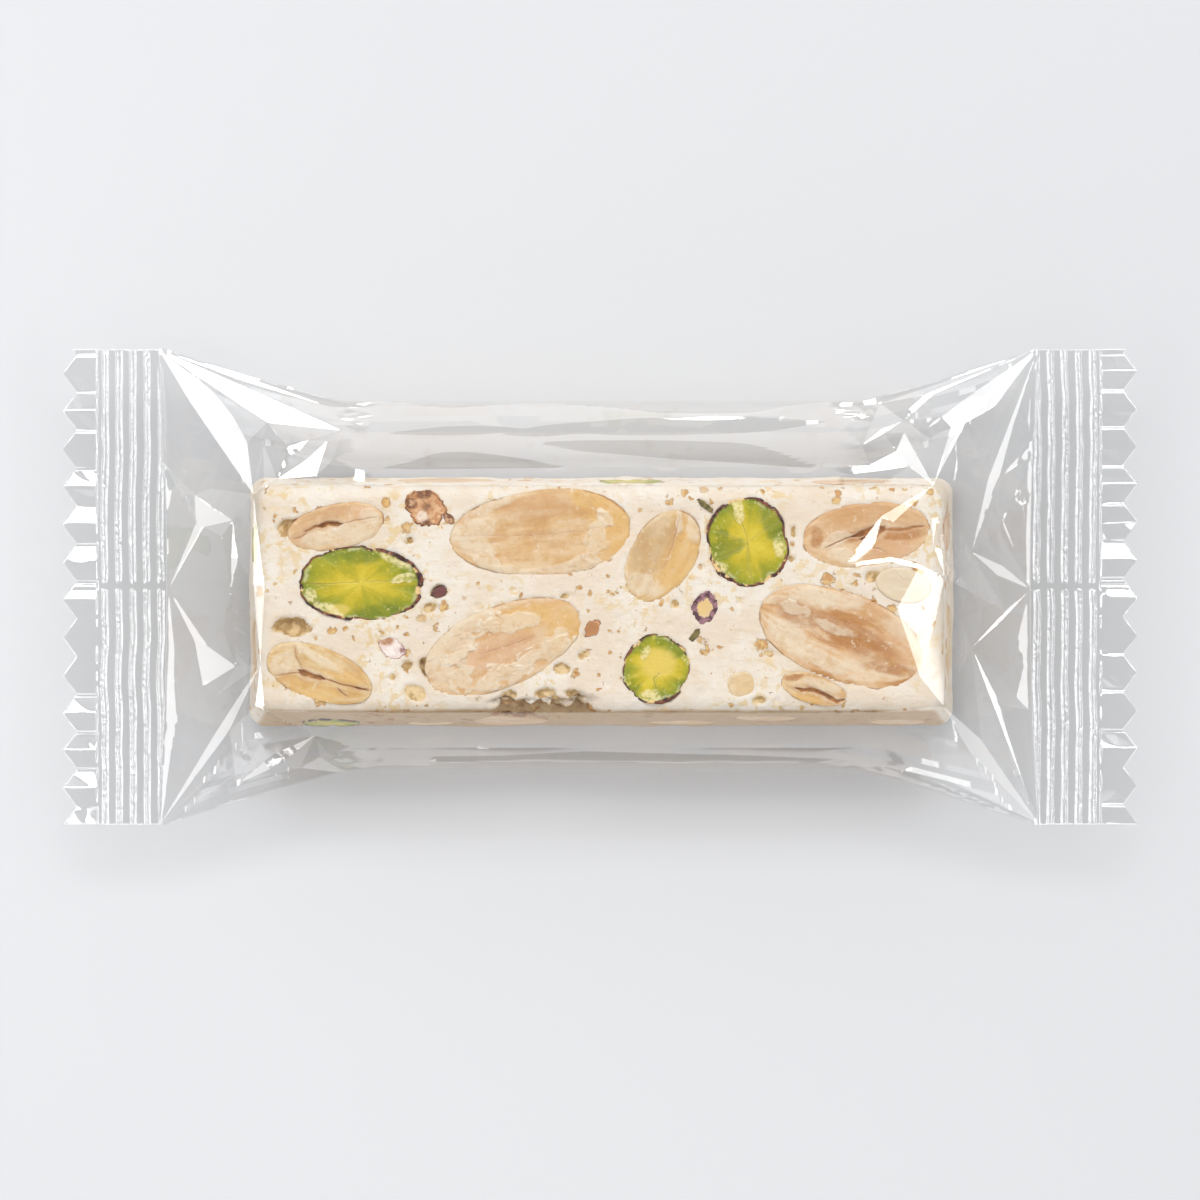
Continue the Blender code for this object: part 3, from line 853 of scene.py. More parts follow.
def cutFace(u, v, x, y, share, nut):
    # the height of the cut face, and the numbers that its material reads;
    # share is 0 in the middle and 1 at the edge
    length, width = nut["size"]
    seed, zero = nut["seed"], 0 * u
    bentX, bentY = (
        place + 0.22 * flatNoise(x, y, 0.9, seed + more, 3) + 0.30 * flatNoise(x, y, 3.0, seed + more + 1)
        for place, more in ((x, 1), (y, 3))
    )
    _, shard = cellNoise(bentX, bentY, zero, 1.5, seed + 5)
    keys = ("pale", "gold", "tan", "rose", "dim", "brown", "dark", "edgeGlint", "crack")
    masks = {key: zero + 0.0 for key in keys}

    def lay(key, mask):
        masks[key] = np.maximum(masks[key], mask)

    height = 0.10 * flatNoise(u * 0.5, v, 2.6, seed + 6, 4) - 0.10 * smooth(0.9, 1.0, share)
    for kind, px, py, rx, ry, degrees in nut.get("patches", []):
        along, across = alongAcross(bentX - px, bentY - py, degrees)
        inside = 1.15 - np.sqrt((along / rx) ** 2 + (across / ry) ** 2)
        raised, splinters, crisp, rim = patchKinds[kind]
        inside = inside + splinters * (shard - 0.5)
        mask = smooth(-crisp, crisp, inside)
        lay("pale" if kind == "shard" else kind, mask)
        # a painted highlight along the patch's rim
        if rim:
            broken = smooth(-0.3, 0.5, flatNoise(x, y, 1.3, seed + 7, 2))
            lay("edgeGlint", bell(inside, 0.09) * broken * rim)
        height = height + raised * mask
    for wide, deep, places in nut.get("cracks", []):
        gap, along = lineGap(bentX * 0.7 + x * 0.3, bentY * 0.7 + y * 0.3, places)
        taper = smooth(0.0, 0.18, along) * smooth(1.0, 0.82, along) if len(places) > 2 else 1.0
        frayed = 1 + 0.4 * flatNoise(x, y, 0.8, seed + 8, 2)
        reach = wide * (0.35 + 0.65 * taper) * frayed * 0.5 + 0.02
        mask = bell(gap, reach, 4)
        strength = min(1.0, 0.25 + deep * 1.1)
        lay("crack", strength * mask)
        lay("brown", 0.8 * strength * bell(gap, 2.2 * reach + 0.15))
        height = height - deep * mask * 0.45
        # a painted highlight along the lip beside the crack
        lip = bell(gap - reach * 1.7, 0.5 * reach + 0.05)
        lay("edgeGlint", 0.35 * lip * strength)
    if nut["kind"] == "pistachio":
        # lobes round the middle, rays out from it, and a skin that is thicker in places
        angle = np.arctan2(v / width, u / length)
        lobes = nut.get("lobes", 7)
        bend = 0.35 * flatNoise(1.5 * np.cos(angle), 1.5 * np.sin(angle), 1.0, seed)
        lobe = 0.5 + 0.5 * np.cos(lobes * (angle + bend) + nut.get("phase", 0.0) * lobes)
        ray = softNoise(np.cos(angle) * 2.4, np.sin(angle) * 2.4, share * 0.7, 1.0, seed + 9, 2)
        notch = smooth(0.35, 0.0, lobe) * smooth(0.35, 0.9, share)
        masks["lobe"] = np.clip(notch + 0.25 * (ray > 0.25), 0, 1)
        masks["ray"] = 0.5 + 0.5 * ray
        height = height - 0.22 * notch + 0.03 * ray
        skin = 0.045 + 0.025 * flatNoise(angle * 3, zero, 1.0, seed + 10, 3)
        for place, wide in nut.get("skin", []):
            turned = np.abs((angle - place + np.pi) % (2 * np.pi) - np.pi)
            skin = skin + 0.075 * wide * bell(turned, 0.4)
        inward = (1 - share) + 0.012 * flatNoise(x, y, 0.5, seed + 11, 2) - 0.03 * notch
        masks["skin"] = smooth(skin + 0.012, skin - 0.012, inward)
        # a painted highlight along the ledge just inside the skin
        ledge = bell(inward - skin - 0.035, 0.03)
        lay("edgeGlint", ledge * smooth(0.1, 0.5, flatNoise(x, y, 1.4, seed + 12, 2)))
        height = height + 0.10 * masks["skin"] - 0.06 * ledge
    else:
        # streaks that run along the nut and draw together at its ends
        across = v / (width / 2) / np.sqrt(np.clip(1.02 - (u / (length / 2)) ** 2, 0.06, 1))
        stripe = flatNoise(u / length * 2.2, across * 2.6, 0.62, seed + 13, 4)
        masks["ray"] = 0.5 + 0.5 * stripe
        height = height + (0.10 if nut.get("stripes") else 0.03) * stripe
    masks["share"] = share + 0.0
    return height, masks


def nutMesh(name, nut, origin, along, across, out, material):
    # rings from the middle of the cut face out to its edge, then down and in under it to a closed point
    spacing, under = nutSizes["spacing"], nutSizes["ringsUnder"]
    length, width = nut["size"]
    rings = int(np.clip(0.42 * (length + width) / 2 / spacing, 14, 64))
    around = int(np.clip(np.pi * (length + width) / 2 / spacing, 48, 400))
    angle = np.linspace(0, 2 * np.pi, around, endpoint=False)[None, :]
    share = (np.linspace(0, 1, rings + 1) ** 0.9)[:, None]
    edgeU, edgeV = nutOutline(angle, nut)
    u, v = share * edgeU, share * edgeV
    x, y = u, v
    if not nut.get("side"):
        placed = origin[:2] + u[..., None] * along[:2] + v[..., None] * across[:2]
        middle = np.array(nutSizes["middle"])
        x, y = np.moveaxis(middle + (placed - middle) / nutSizes["topShare"], -1, 0)
    height, masks = cutFace(u, v, x, y, share + 0 * angle, nut)
    depth = min(nutSizes["depth"], 0.4 * min(nut["size"]))
    fall = (np.linspace(0, 1, under + 1)[1:] * np.pi / 2)[:, None]
    below = height[-1:] - depth * np.sin(fall)
    tuck = np.cos(fall * 0.97)
    u = np.concatenate([[0.0], u[1:].reshape(-1), (tuck * edgeU).reshape(-1), [0.0]])
    v = np.concatenate([[0.0], v[1:].reshape(-1), (tuck * edgeV).reshape(-1), [0.0]])
    tip = below[-1].mean() - 0.02
    h = np.concatenate([[height[0, 0]], height[1:].reshape(-1), below.reshape(-1), [tip]])
    points = origin + u[:, None] * along + v[:, None] * across + (h[:, None] + nutSizes["proud"]) * out
    total = rings + under
    index = 1 + np.arange(total * around).reshape(total, around)
    index = np.concatenate([index, index[:, :1]], axis=1)
    centres, lasts = np.zeros(around, int), np.full(around, 1 + total * around)
    upperFan = np.stack([centres, index[0, :-1], index[0, 1:]], axis=1)
    lowerFan = np.stack([lasts, index[-1, 1:], index[-1, :-1]], axis=1)
    values = {}
    for key, numbers in masks.items():
        side = np.repeat(numbers[-1:], under, axis=0)
        start = numbers[0, 0]
        values[key] = np.concatenate([[start], numbers[1:].reshape(-1), side.reshape(-1), [start]])
    return makeMesh(name, points, [gridFaces(index), upperFan, lowerFan], material, values)


def almondMaterial(name, tone, pale, stripes):
    # tan, streaked along the nut and mottled, with paler chips, golden parts and brown cracks;
    # tone runs from peach to yellow
    n = Nodes(name)
    cloud = n.ramp(n.noise(3.4, 5.0, 0.65), 0.36, 0.64)
    base = n.mix(tone, n.mix(cloud, "D0A575", "DAB993"), n.mix(cloud, "CEA96A", "DBC394"))
    ray = n.math("ADD", n.value("ray"), n.uneven(0.8, 4.0, 0.7, 0.25))
    base = n.tint(base, "E1CFB3", n.ramp(ray, 0.50, 0.70), 0.42 + 0.30 * stripes)
    base = n.tint(base, "B57F44", n.ramp(ray, 0.50, 0.30), 0.34 + 0.50 * stripes)
    for key, amount, colour in (
        ("dim", 0.7, "BE9F76"), ("rose", 0.6, "D2AA87"), ("tan", 0.55, "C4986A"),
        ("gold", 0.75, "DAB06A"), ("brown", 0.8, "AA7037"), ("pale", 0.70, "DFD0B7"),
    ):
        blotched = n.ramp(n.noise(1.3, 4.0, 0.7), 0.25, 0.62, 0.40 * amount, amount)
        base = n.tint(base, colour, n.value(key), blotched)
    base = n.tint(base, "C69854", n.ramp(n.noise(1.5, 5.0, 0.7), 0.54, 0.66), 0.38)
    chips = n.ramp(n.noise(0.9, 4.0, 0.7, n.warped(0.8, 0.8)), 0.60, 0.66)
    base = n.tint(base, "E5DAC4", chips, 0.45)
    # painted highlights on flake rims and crack lips
    base = n.tint(base, "E8E1D1", n.value("edgeGlint"), 0.6)
    base = n.tint(base, "AA763F", n.ramp(n.noise(0.5, 2.0, 0.5), 0.68, 0.76), 0.35)
    cracked = n.mix(n.ramp(n.noise(0.7, 2.0), 0.35, 0.65), "84501E", "AE7237")
    base = n.tint(base, cracked, n.ramp(n.value("crack"), 0.20, 0.95), 0.92)
    rim = n.ramp(n.value("share"), 0.96, 0.998)
    base = n.tint(base, "9B6631", rim, n.ramp(n.noise(2.4, 4.0), 0.50, 0.60, 0.0, 0.8))
    base = n.mix(pale, base, "DDD1BA")
    normal = n.bump(n.noise(1.3, 3.0, 0.6), 0.12, n.bump(n.noise(0.45, 4.0, 0.65), 0.05))
    return n.finish(base, n.ramp(n.noise(1.2), 0.3, 0.7, 0.34, 0.5), normal, 0.42)


def pistachioMaterial(yolk):
    # yellow in the middle, olive out to the rim and between the lobes, in a thin torn purple skin;
    # yolk is how far the yellow spreads
    n = Nodes("pistachioCut" + str(int(10 * yolk)))
    share = n.value("share")
    blotch = n.uneven(2.2, 4.0, 0.6, 0.9)
    rays = n.times(n.math("SUBTRACT", n.value("ray"), 0.5), 0.9)
    reach = n.math("ADD", n.math("ADD", share, blotch), rays)
    base = n.mix(n.ramp(reach, 0.35 + 0.2 * yolk, 0.85 + 0.1 * yolk), "C5B01F", "9E9D16")
    base = n.mix(n.ramp(reach, 0.30 * yolk, 0.50 + 0.40 * yolk), "D5C03A", base)
    base = n.tint(base, "748313", n.ramp(reach, 0.74, 1.05), 0.75)
    base = n.tint(base, "798915", n.value("lobe"), 0.55)
    base = n.tint(base, "6F7D13", n.value("dark"), 0.65)
    base = n.tint(base, "E0C564", n.value("gold"), 0.75)
    base = n.tint(base, "E8DAA2", n.value("pale"), n.ramp(n.noise(0.7, 4.0, 0.7), 0.38, 0.56, 0.15, 0.9))
    # painted highlights on the ledge inside the skin and on flake rims
    base = n.tint(base, "EEE8C6", n.value("edgeGlint"), 0.45)
    chips = n.times(n.ramp(n.noise(0.8, 4.0, 0.7), 0.58, 0.66), n.ramp(share, 0.45, 0.95))
    base = n.tint(base, "E2D690", chips, 0.75)
    base = n.tint(base, "E3C83B", n.ramp(n.noise(0.6, 3.0, 0.6), 0.60, 0.72), 0.35)
    base = n.tint(base, "7C760B", n.ramp(n.value("crack"), 0.1, 0.6), 0.6)
    skin = n.mix(n.ramp(n.noise(1.0, 4.0), 0.44, 0.60), "3B1918", "80452F")
    skin = n.mix(n.ramp(n.noise(1.3, 4.0), 0.54, 0.62), skin, "E7C488")
    base = n.mix(n.value("skin"), base, skin)
    normal = n.bump(n.noise(1.1, 3.0), 0.16, n.bump(n.noise(0.4, 4.0, 0.65), 0.08))
    return n.finish(base, n.ramp(n.noise(1.0), 0.3, 0.7, 0.26, 0.45), normal, 0.3)


def bitMaterial(name, dark, light, rimDark, rimLight, rimFrom):
    # a small piece: two colours in clumps inside a skin of two others
    n = Nodes(name)
    clump = n.noise(0.8, 4.0, 0.7)
    base = n.mix(n.ramp(clump, 0.40, 0.58), dark, light)
    for key, colour in (("gold", "DDBB78"), ("brown", "A8703E"), ("pale", "E6D6C4")):
        base = n.tint(base, colour, n.value(key), n.ramp(clump, 0.36, 0.54, 0.35, 0.9))
    rim = n.math("ADD", n.value("share"), n.uneven(0.8, 4.0, 0.7, 0.7))
    skin = n.mix(n.ramp(n.noise(0.8, 2.0), 0.42, 0.6), rimDark, rimLight)
    base = n.mix(n.ramp(rim, rimFrom, rimFrom + 0.06), base, skin)
    base = n.tint(base, rimDark, n.value("dark"), n.ramp(clump, 0.60, 0.48, 0.25, 0.9))
    base = n.tint(base, "6B4630", n.value("crack"), 0.8)
    return n.finish(base, 0.5, n.bump(n.noise(0.5, 3.0), 0.06), 0.4)


filmSizes = {
    "sealHeight": 8.4,
    "barTop": 16.5,        # height of the film over the bar
    "topHigh": 18.2,       # highest that a crease may reach
    "backEdge": 13.1,      # where the film leaves the bar's top
    "frontEdge": -16.1,
    "bodyHalfWidth": 24.05,
    "bodyShift": -0.55,
    "bodyHalfLength": 33.0,
    "endsFrom": 28.0,      # where the creases of the ends take over from the body
    "bandsTo": 30.0,       # where the mesh stops following the long bands
    "sealHalfWidth": 30.7,
    "sealStart": 56.0,     # about where the seals start
    "leftSeal": (55.9, 57.0),   # where each starts at its middle and at its corners
    "rightSeal": (55.4, 56.4),
    "cornerX": 56.2,
    "sideRadius": 3.6,     # of the rolled long sides
    "underRadius": 4.0,
    "rim": 1.5,            # how much higher than a circle they roll
    "steep": 0.62,         # fall of the film beside the bar, over its width
    "gentle": 0.13,        # the same inside the long flat bands
    "stationsEnd": 112,
    "stationsBody": 66,
    "across": 240,
    "acrossUnder": 64,
}

# long flat bands in the film beside the bar: the lower and the upper edge of each, as places (x, y)
longBands = [
    (
        [(-27.6, 15.2), (-24.6, 15.0), (-18.0, 15.1), (-10.0, 15.2), (-4.9, 15.2)],
        [(-27.6, 15.3), (-24.5, 15.9), (-20.9, 17.3), (-16.4, 17.3), (-9.6, 16.4), (-4.9, 15.3)],
    ),
    (
        [
            (-7.2, 18.4), (-3.2, 17.4), (2.6, 17.0), (7.9, 16.5), (15.8, 16.0), (23.7, 15.4),
            (27.2, 15.2),
        ],
        [
            (-7.2, 18.6), (-2.6, 18.8), (7.9, 18.8), (14.0, 18.6), (19.2, 18.4), (24.0, 16.9),
            (27.2, 15.4),
        ],
    ),
    (
        [
            (-12.4, 19.5), (-7.6, 19.2), (-2.6, 19.7), (3.0, 19.4), (10.5, 19.5), (18.4, 19.7),
            (23.7, 20.2), (28.4, 21.2),
        ],
        [
            (-12.4, 19.6), (-8.0, 20.7), (-1.5, 21.2), (5.2, 21.7), (15.8, 21.9), (23.7, 21.6),
            (28.4, 21.3),
        ],
    ),
    (
        [(-27.0, 19.6), (-20.0, 19.4), (-14.0, 19.6), (-9.0, 20.1)],
        [(-27.0, 19.8), (-20.0, 20.6), (-14.0, 20.7), (-9.0, 20.2)],
    ),
    (
        [(-21.6, -23.2), (-14.0, -23.3), (-3.0, -23.2), (8.0, -23.3), (20.0, -23.2), (30.0, -22.2)],
        [
            (-21.6, -21.8), (-13.0, -21.7), (-2.0, -21.1), (8.0, -21.4), (18.0, -21.6), (24.5, -21.9),
            (30.0, -22.1),
        ],
    ),
]

# creases of the upper film at the two ends: named places (x, y, height) and lines that join them
leftPlaces = {
    "T": (-57.0, 30.6, 8.4), "S": (-55.7, -0.3, 8.4), "B": (-56.7, -30.5, 8.4),
    "t1": (-56.2, 16.0, 8.4), "b1": (-56.35, -21.0, 8.4), "a1": (-52.9, 23.9, 11.2),
    "a2": (-48.5, 17.6, 13.9), "a3": (-47.2, 21.9, 12.7), "a4": (-45.3, 18.5, 14.1),
    "a5": (-50.0, 25.3, 11.2), "N": (-44.4, 11.8, 16.4), "k1": (-44.8, 25.3, 10.3),
    "k2": (-42.9, 21.1, 11.7), "K": (-33.3, 20.1, 12.2), "k3": (-34.9, 23.2, 10.2),
    "m1": (-45.4, 26.9, 9.3), "m3": (-45.7, 26.4, 9.5), "v1": (-43.4, 18.6, 12.5),
    "v2": (-41.4, 13.8, 15.2), "k12": (-39.6, 16.9, 13.95), "k5": (-40.1, 18.0, 13.45),
    "k7": (-37.6, 18.8, 13.0), "k9": (-38.5, 17.6, 13.5), "k11": (-37.5, 16.4, 14.6),
    "k10": (-35.0, 18.8, 13.5), "k8": (-36.4, 14.2, 15.4), "q1": (-34.2, 16.4, 15.2),
    "s1": (-47.2, 8.5, 12.9), "s2": (-52.2, 11.9, 11.75), "s3": (-51.0, 7.7, 11.5),
    "s4": (-52.0, 8.2, 11.3), "s5": (-47.4, -0.3, 13.3), "u0": (-48.6, 6.5, 13.3),
    "u1": (-46.5, 3.6, 13.6), "u2": (-47.4, 3.6, 13.3), "r1": (-49.8, 12.6, 13.6),
    "r2": (-48.4, -5.6, 13.6), "r3": (-48.7, -13.6, 13.2), "s6": (-46.8, -10.2, 13.3),
    "s8": (-50.4, -7.7, 11.95), "s7": (-51.1, -12.8, 11.8), "s9": (-52.2, -7.0, 11.25),
    "e1": (-54.9, -8.5, 8.7), "e2": (-54.4, -17.0, 9.05), "d1": (-55.0, 13.6, 8.82),
    "d2": (-55.95, 9.0, 8.4), "M": (-44.4, 0.0, 16.0), "V": (-43.5, -9.9, 16.45),
    "P": (-44.2, -15.4, 16.1), "n2": (-43.0, 12.9, 16.5), "m2": (-43.0, 0.0, 16.5),
    "p2": (-43.0, -15.8, 16.5), "n3": (-36.0, 13.1, 16.5), "p3": (-36.0, -16.0, 16.5),
    "c1": (-49.4, -18.7, 12.9), "c2": (-47.6, -18.4, 13.5), "c3": (-46.9, -25.4, 9.9),
    "c6": (-43.8, -20.3, 13.4), "c4": (-36.6, -19.1, 14.6), "w1": (-42.0, -21.5, 12.3),
    "w2": (-41.2, -22.9, 12.3), "c5": (-32.9, -24.0, 10.4), "c8": (-38.7, -23.3, 10.6),
    "c9": (-36.0, -21.9, 11.9), "i1": (-27.0, 13.1, 16.5), "i2": (-27.0, 19.3, 12.7),
    "i3": (-27.0, 22.9, 10.4), "j1": (-27.0, -16.1, 16.5), "j2": (-27.0, -21.6, 13.2),
    "j3": (-27.0, -24.3, 11.0),
}
leftCreases = [
    "T a1 a2 N", "T a5 a3 a4 N", "a1 a5", "a2 a3", "a2 a4", "T k1 K", "T k2 K", "K k3", "T m1 k3",
    "T m3 k3", "v1 a4", "v1 k2", "v1 N", "a3 k2", "v2 k5", "v2 k12 k5", "v2 N", "v2 n2", "k5 k7 k9 k5",
    "k9 k12", "k7 K", "k8 k11 k10 k8", "k10 K", "k11 k9", "k8 n3", "v1 k5", "k2 k5", "k2 k7", "v2 n3",
    "v2 v1", "k10 i2", "k8 q1 k10", "q1 K", "q1 i1", "N n2 n3 i1", "K i2", "k3 i3", "k8 i1", "S s3",
    "S s4", "s4 s3 s1", "s4 s2 s1", "s3 s2", "T s2", "a2 r1 s1", "r1 s2", "a1 s2", "t1 s2", "s1 u1 s5",
    "s1 u2 s5", "S s5 M", "s3 u0 s5", "u0 s1", "S u0", "u0 u2", "s8 r2 s6", "r2 s5", "S r2", "s7 r3 s6",
    "r3 c1", "r3 V", "s1 N", "u1 N", "s5 s6", "S s9 s8", "S s8 s6", "s9 s7 s6", "s7 s8", "s6 V", "s5 V",
    "S e1 e2 B", "e2 b1", "t1 d1 d2 S", "d1 s2", "d1 s4", "d2 s4", "e1 s9", "e2 s7", "s7 c1", "e2 c1",
    "B c1 V", "B c2 V", "c2 P", "c2 V", "B c3", "c3 w1 c4", "c3 w2 c4", "c2 c3", "c2 c6 P", "c6 w1",
    "c6 c4", "P c4", "w2 c8 c9 c4", "c8 c5", "c9 c5 c4", "c3 c8", "B c8", "B c5", "c5 j3", "c4 j2",
    "N M V P", "n2 m2 p2", "p2 p3 j1", "P p2", "c4 p3", "P p3",
]
rightPlaces = {
    "T": (56.4, 30.6, 8.4), "S": (55.5, -0.3, 8.4), "B": (56.5, -30.5, 8.4), "t1": (55.75, 17.0, 8.4),
    "b1": (55.6, -11.6, 8.4), "b2": (55.8, -16.0, 8.4), "a1": (48.0, 25.0, 12.1),
    "a2": (43.7, 21.8, 14.05), "a3": (45.0, 20.5, 14.05), "a4": (46.8, 21.0, 13.45),
    "a5": (50.7, 23.2, 11.85), "N": (42.6, 13.0, 16.6), "k1": (41.4, 24.6, 10.35),
    "k2": (43.0, 24.9, 10.25), "K": (39.0, 21.4, 11.6), "k3": (36.0, 23.6, 10.2),
    "v1": (42.2, 19.0, 13.4), "k4": (39.0, 19.8, 13.35), "k5": (38.0, 17.4, 13.85),
    "k6": (34.5, 15.6, 14.41), "k7": (33.6, 18.2, 13.05), "k9": (36.1, 20.2, 12.35),
    "k10": (36.4, 19.7, 12.5), "l1": (39.5, 15.4, 14.9), "l2": (36.0, 14.9, 14.65),
    "l3": (31.8, 14.4, 15.0), "l4": (28.6, 15.1, 14.9), "w1": (51.4, 14.1, 10.31),
    "w2": (49.9, 13.9, 10.86), "w4": (55.0, 22.5, 8.8), "w5": (55.1, 18.0, 8.6),
    "x1": (51.3, 7.5, 9.48), "s1": (47.7, 4.5, 11.71), "s2": (51.1, 1.5, 10.13),
    "s3": (51.8, 2.7, 10.08), "s6": (47.7, -7.8, 12.3), "s7": (52.1, -3.2, 10.05),
    "s8": (51.2, -4.8, 10.6), "e1": (54.4, -4.0, 8.8), "e2": (53.7, -7.2, 9.1),
    "e5": (54.6, -10.2, 8.77), "e3": (54.6, -12.9, 8.8), "e4": (53.6, -14.2, 9.15),
    "e7": (54.7, -15.4, 8.8), "M": (43.9, 1.2, 18.1), "P": (43.9, -15.3, 16.75),
    "f1": (38.0, -2.8, 16.4), "f2": (40.9, -11.5, 16.4), "h1": (42.4, 8.9, 16.5),
    "h2": (42.6, 5.1, 16.85), "h3": (43.2, 8.9, 16.8), "h4": (43.6, 4.8, 17.2),
    "g1": (30.0, 1.2, 16.45), "g2": (37.6, 8.4, 17.0), "g3": (35.9, 9.0, 16.45),
    "g4": (34.9, 5.1, 17.06), "g5": (33.0, 3.2, 16.5), "g6": (37.2, 3.8, 16.5), "g7": (40.7, 2.9, 17.1),
    "g8": (33.2, 2.7, 16.7), "g9": (37.2, 3.2, 16.75), "g10": (40.6, 2.3, 17.35),
    "c1": (47.4, -21.3, 13.9), "c2": (48.8, -19.6, 14.0), "c3": (50.7, -15.6, 10.9),
    "c8": (51.5, -15.2, 10.6), "c4": (39.3, -19.1, 14.4), "c5": (35.9, -23.0, 11.9),
    "c6": (42.8, -21.6, 12.9), "c7": (44.8, -25.0, 10.7), "n3": (36.0, 13.1, 16.5),
    "p3": (36.0, -16.0, 16.5), "i1": (27.0, 13.1, 16.5), "i2": (27.0, 19.5, 12.6),
    "i3": (27.0, 22.9, 10.4), "j1": (27.0, -16.1, 16.5), "j2": (27.0, -21.6, 13.2),
    "j3": (27.0, -24.3, 11.0),
}
rightCreases = [
    "T a1 a2 a3 N", "T a5 a4 N", "a3 a4", "a1 a5", "T k2 k1 K", "K k2", "K k3", "a2 v1 N", "v1 K",
    "v1 k4", "v1 a3", "K k4 N", "k4 k5 k6 l4", "k5 l1 N", "l1 l2 l3 l4", "k6 l2", "K k9 k7", "K k10 k7",
    "k7 i2", "k7 k6", "l4 i1", "k3 i3", "k10 k5", "a2 K", "k2 a1", "T w1 s1", "T w2 s1", "w1 w2",
    "T w4 w5 t1", "w4 w1", "w5 w1", "s1 x1 w1", "x1 s3", "x1 S", "x1 t1", "a5 w2", "a4 w2", "S s2 s1",
    "S s3 s1", "s1 N", "s1 M", "S s7 s6", "S s8 s6", "s1 s7", "S e1 e2 e5 b1", "b1 e3 e4 e7 b2",
    "e1 s8", "e2 s6", "e4 s6", "e5 s6", "e7 c8", "s6 c3 B", "s6 c8 B", "s6 M", "s6 P", "s6 c2", "c2 c3",
    "P c1 B", "P c2 B", "c1 c2", "c1 c6 P", "c6 c4 P", "c4 c5", "c6 c7 B", "c1 c7", "c7 c5 B", "c6 c5",
    "c5 j3", "c4 j2", "c4 p3", "N g3 g1", "N g2 g4 g1", "g3 g4", "g1 g5 g6 g7 M", "g1 g8 g9 g10 M",
    "N h1 h2 M", "N h3 h4 M", "h1 h3", "M f1 f2 P M", "N n3 i1", "P p3 j1", "f1 g9", "l1 n3",
]

# crumpled places in the film: x, y, reach, depth
crumpleSpots = [
    (-31.5, 22.0, 3.2, 0.30), (-40.5, -22.8, 3.0, 0.22), (-45.8, -21.3, 2.0, 0.22),
    (-33.6, -23.6, 2.6, 0.30), (-54.6, 14.2, 2.2, 0.20), (-51.2, -13.8, 1.8, 0.16),
    (37.4, -22.3, 2.6, 0.28), (48.2, 15.2, 2.0, 0.17), (41.0, 22.4, 1.8, 0.14), (33.0, 23.5, 3.4, 0.22),
    (54.3, 11.6, 1.3, 0.22), (31.0, -23.0, 3.0, 0.22), (-30.0, -22.0, 4.0, 0.18),
    (46.8, -2.0, 2.0, 0.10), (-39.5, 17.0, 1.6, 0.12),
]


def creaseNet(places, creases):
    # flat triangles between the named places, split along the creases
    names = list(places)
    spots = np.array([places[name] for name in names])
    edges = []
    for line in creases:
        stops = [names.index(name) for name in line.split()]
        edges += list(zip(stops[:-1], stops[1:]))
    flat = [Vector(spot[:2]) for spot in spots]
    corners, lines, triangles, origins, _, _ = delaunay_2d_cdt(flat, edges, [], 0, 1e-4)
    corners = np.array([tuple(corner) for corner in corners])
    # a place where two creases cross takes the mean of the nearest named heights
    heights = np.empty(len(corners))
    for i, origin in enumerate(origins):
        gap = np.hypot(*(spots[:, :2] - corners[i]).T) + 1e-6
        heights[i] = spots[origin[0], 2] if len(origin) else np.average(spots[:, 2], weights=gap ** -3)
    return np.column_stack([corners, heights]), np.array(lines), triangles


def netHeight(x, y, net):
    # the height of the net's triangle over each place; NaN outside the net
    spots, _, triangles = net
    result = np.full(x.shape, np.nan)
    for a, b, c in triangles:
        ab, ac = spots[b] - spots[a], spots[c] - spots[a]
        area = ab[0] * ac[1] - ab[1] * ac[0]
        if abs(area) < 1e-9:
            continue
        px, py = x - spots[a, 0], y - spots[a, 1]
        shareB = (px * ac[1] - py * ac[0]) / area
        shareC = (ab[0] * py - ab[1] * px) / area
        inside = (shareB >= -1e-5) & (shareC >= -1e-5) & (shareB + shareC <= 1 + 1e-5)
        result[inside] = (spots[a, 2] + shareB * ab[2] + shareC * ac[2])[inside]
    return result


def endHeight(x, y, nets):
    # the left net's height left of the middle and the right net's on the right
    return np.where(x < 0, netHeight(x, y, nets[0]), netHeight(x, y, nets[1]))


def snapToCreases(x, y, net):
    # moves the nearest point of each grid line onto each crease, so that it runs along the mesh's edges
    spots, lines, _ = net
    stepX = np.abs(np.gradient(x, axis=0))
    stepY = np.abs(np.gradient(y, axis=1))
    best = np.full(x.shape, 0.52)
    newX, newY, taken = x.copy(), y.copy(), np.zeros(x.shape, bool)
    for a, b in lines:
        (ax, ay, _), (bx, by, _) = spots[a], spots[b]
        if abs(bx - ax) >= abs(by - ay) * 0.7:
            share = (x - ax) / (bx - ax + 1e-9)
            targetX, targetY = x, ay + share * (by - ay)
            gap = np.abs(targetY - y) / stepY
        else:
            share = (y - ay) / (by - ay + 1e-9)
            targetX, targetY = ax + share * (bx - ax), y
            gap = np.abs(targetX - x) / stepX
        take = (share > -0.01) & (share < 1.01) & (gap < best)
        best = np.where(take, gap, best)
        newX, newY, taken = np.where(take, targetX, newX), np.where(take, targetY, newY), taken | take
    return newX, newY, taken


def sealInner(y, end):
    # distance from the middle to the inner edge of a seal, which bows in at its middle
    leftMiddle, leftCorner = filmSizes["leftSeal"]
    rightMiddle, rightCorner = filmSizes["rightSeal"]
    middle = np.where(end < 0, leftMiddle, rightMiddle)
    corner = np.where(end < 0, leftCorner, rightCorner)
    return middle + (corner - middle) * np.abs(y / filmSizes["sealHalfWidth"]) ** 2


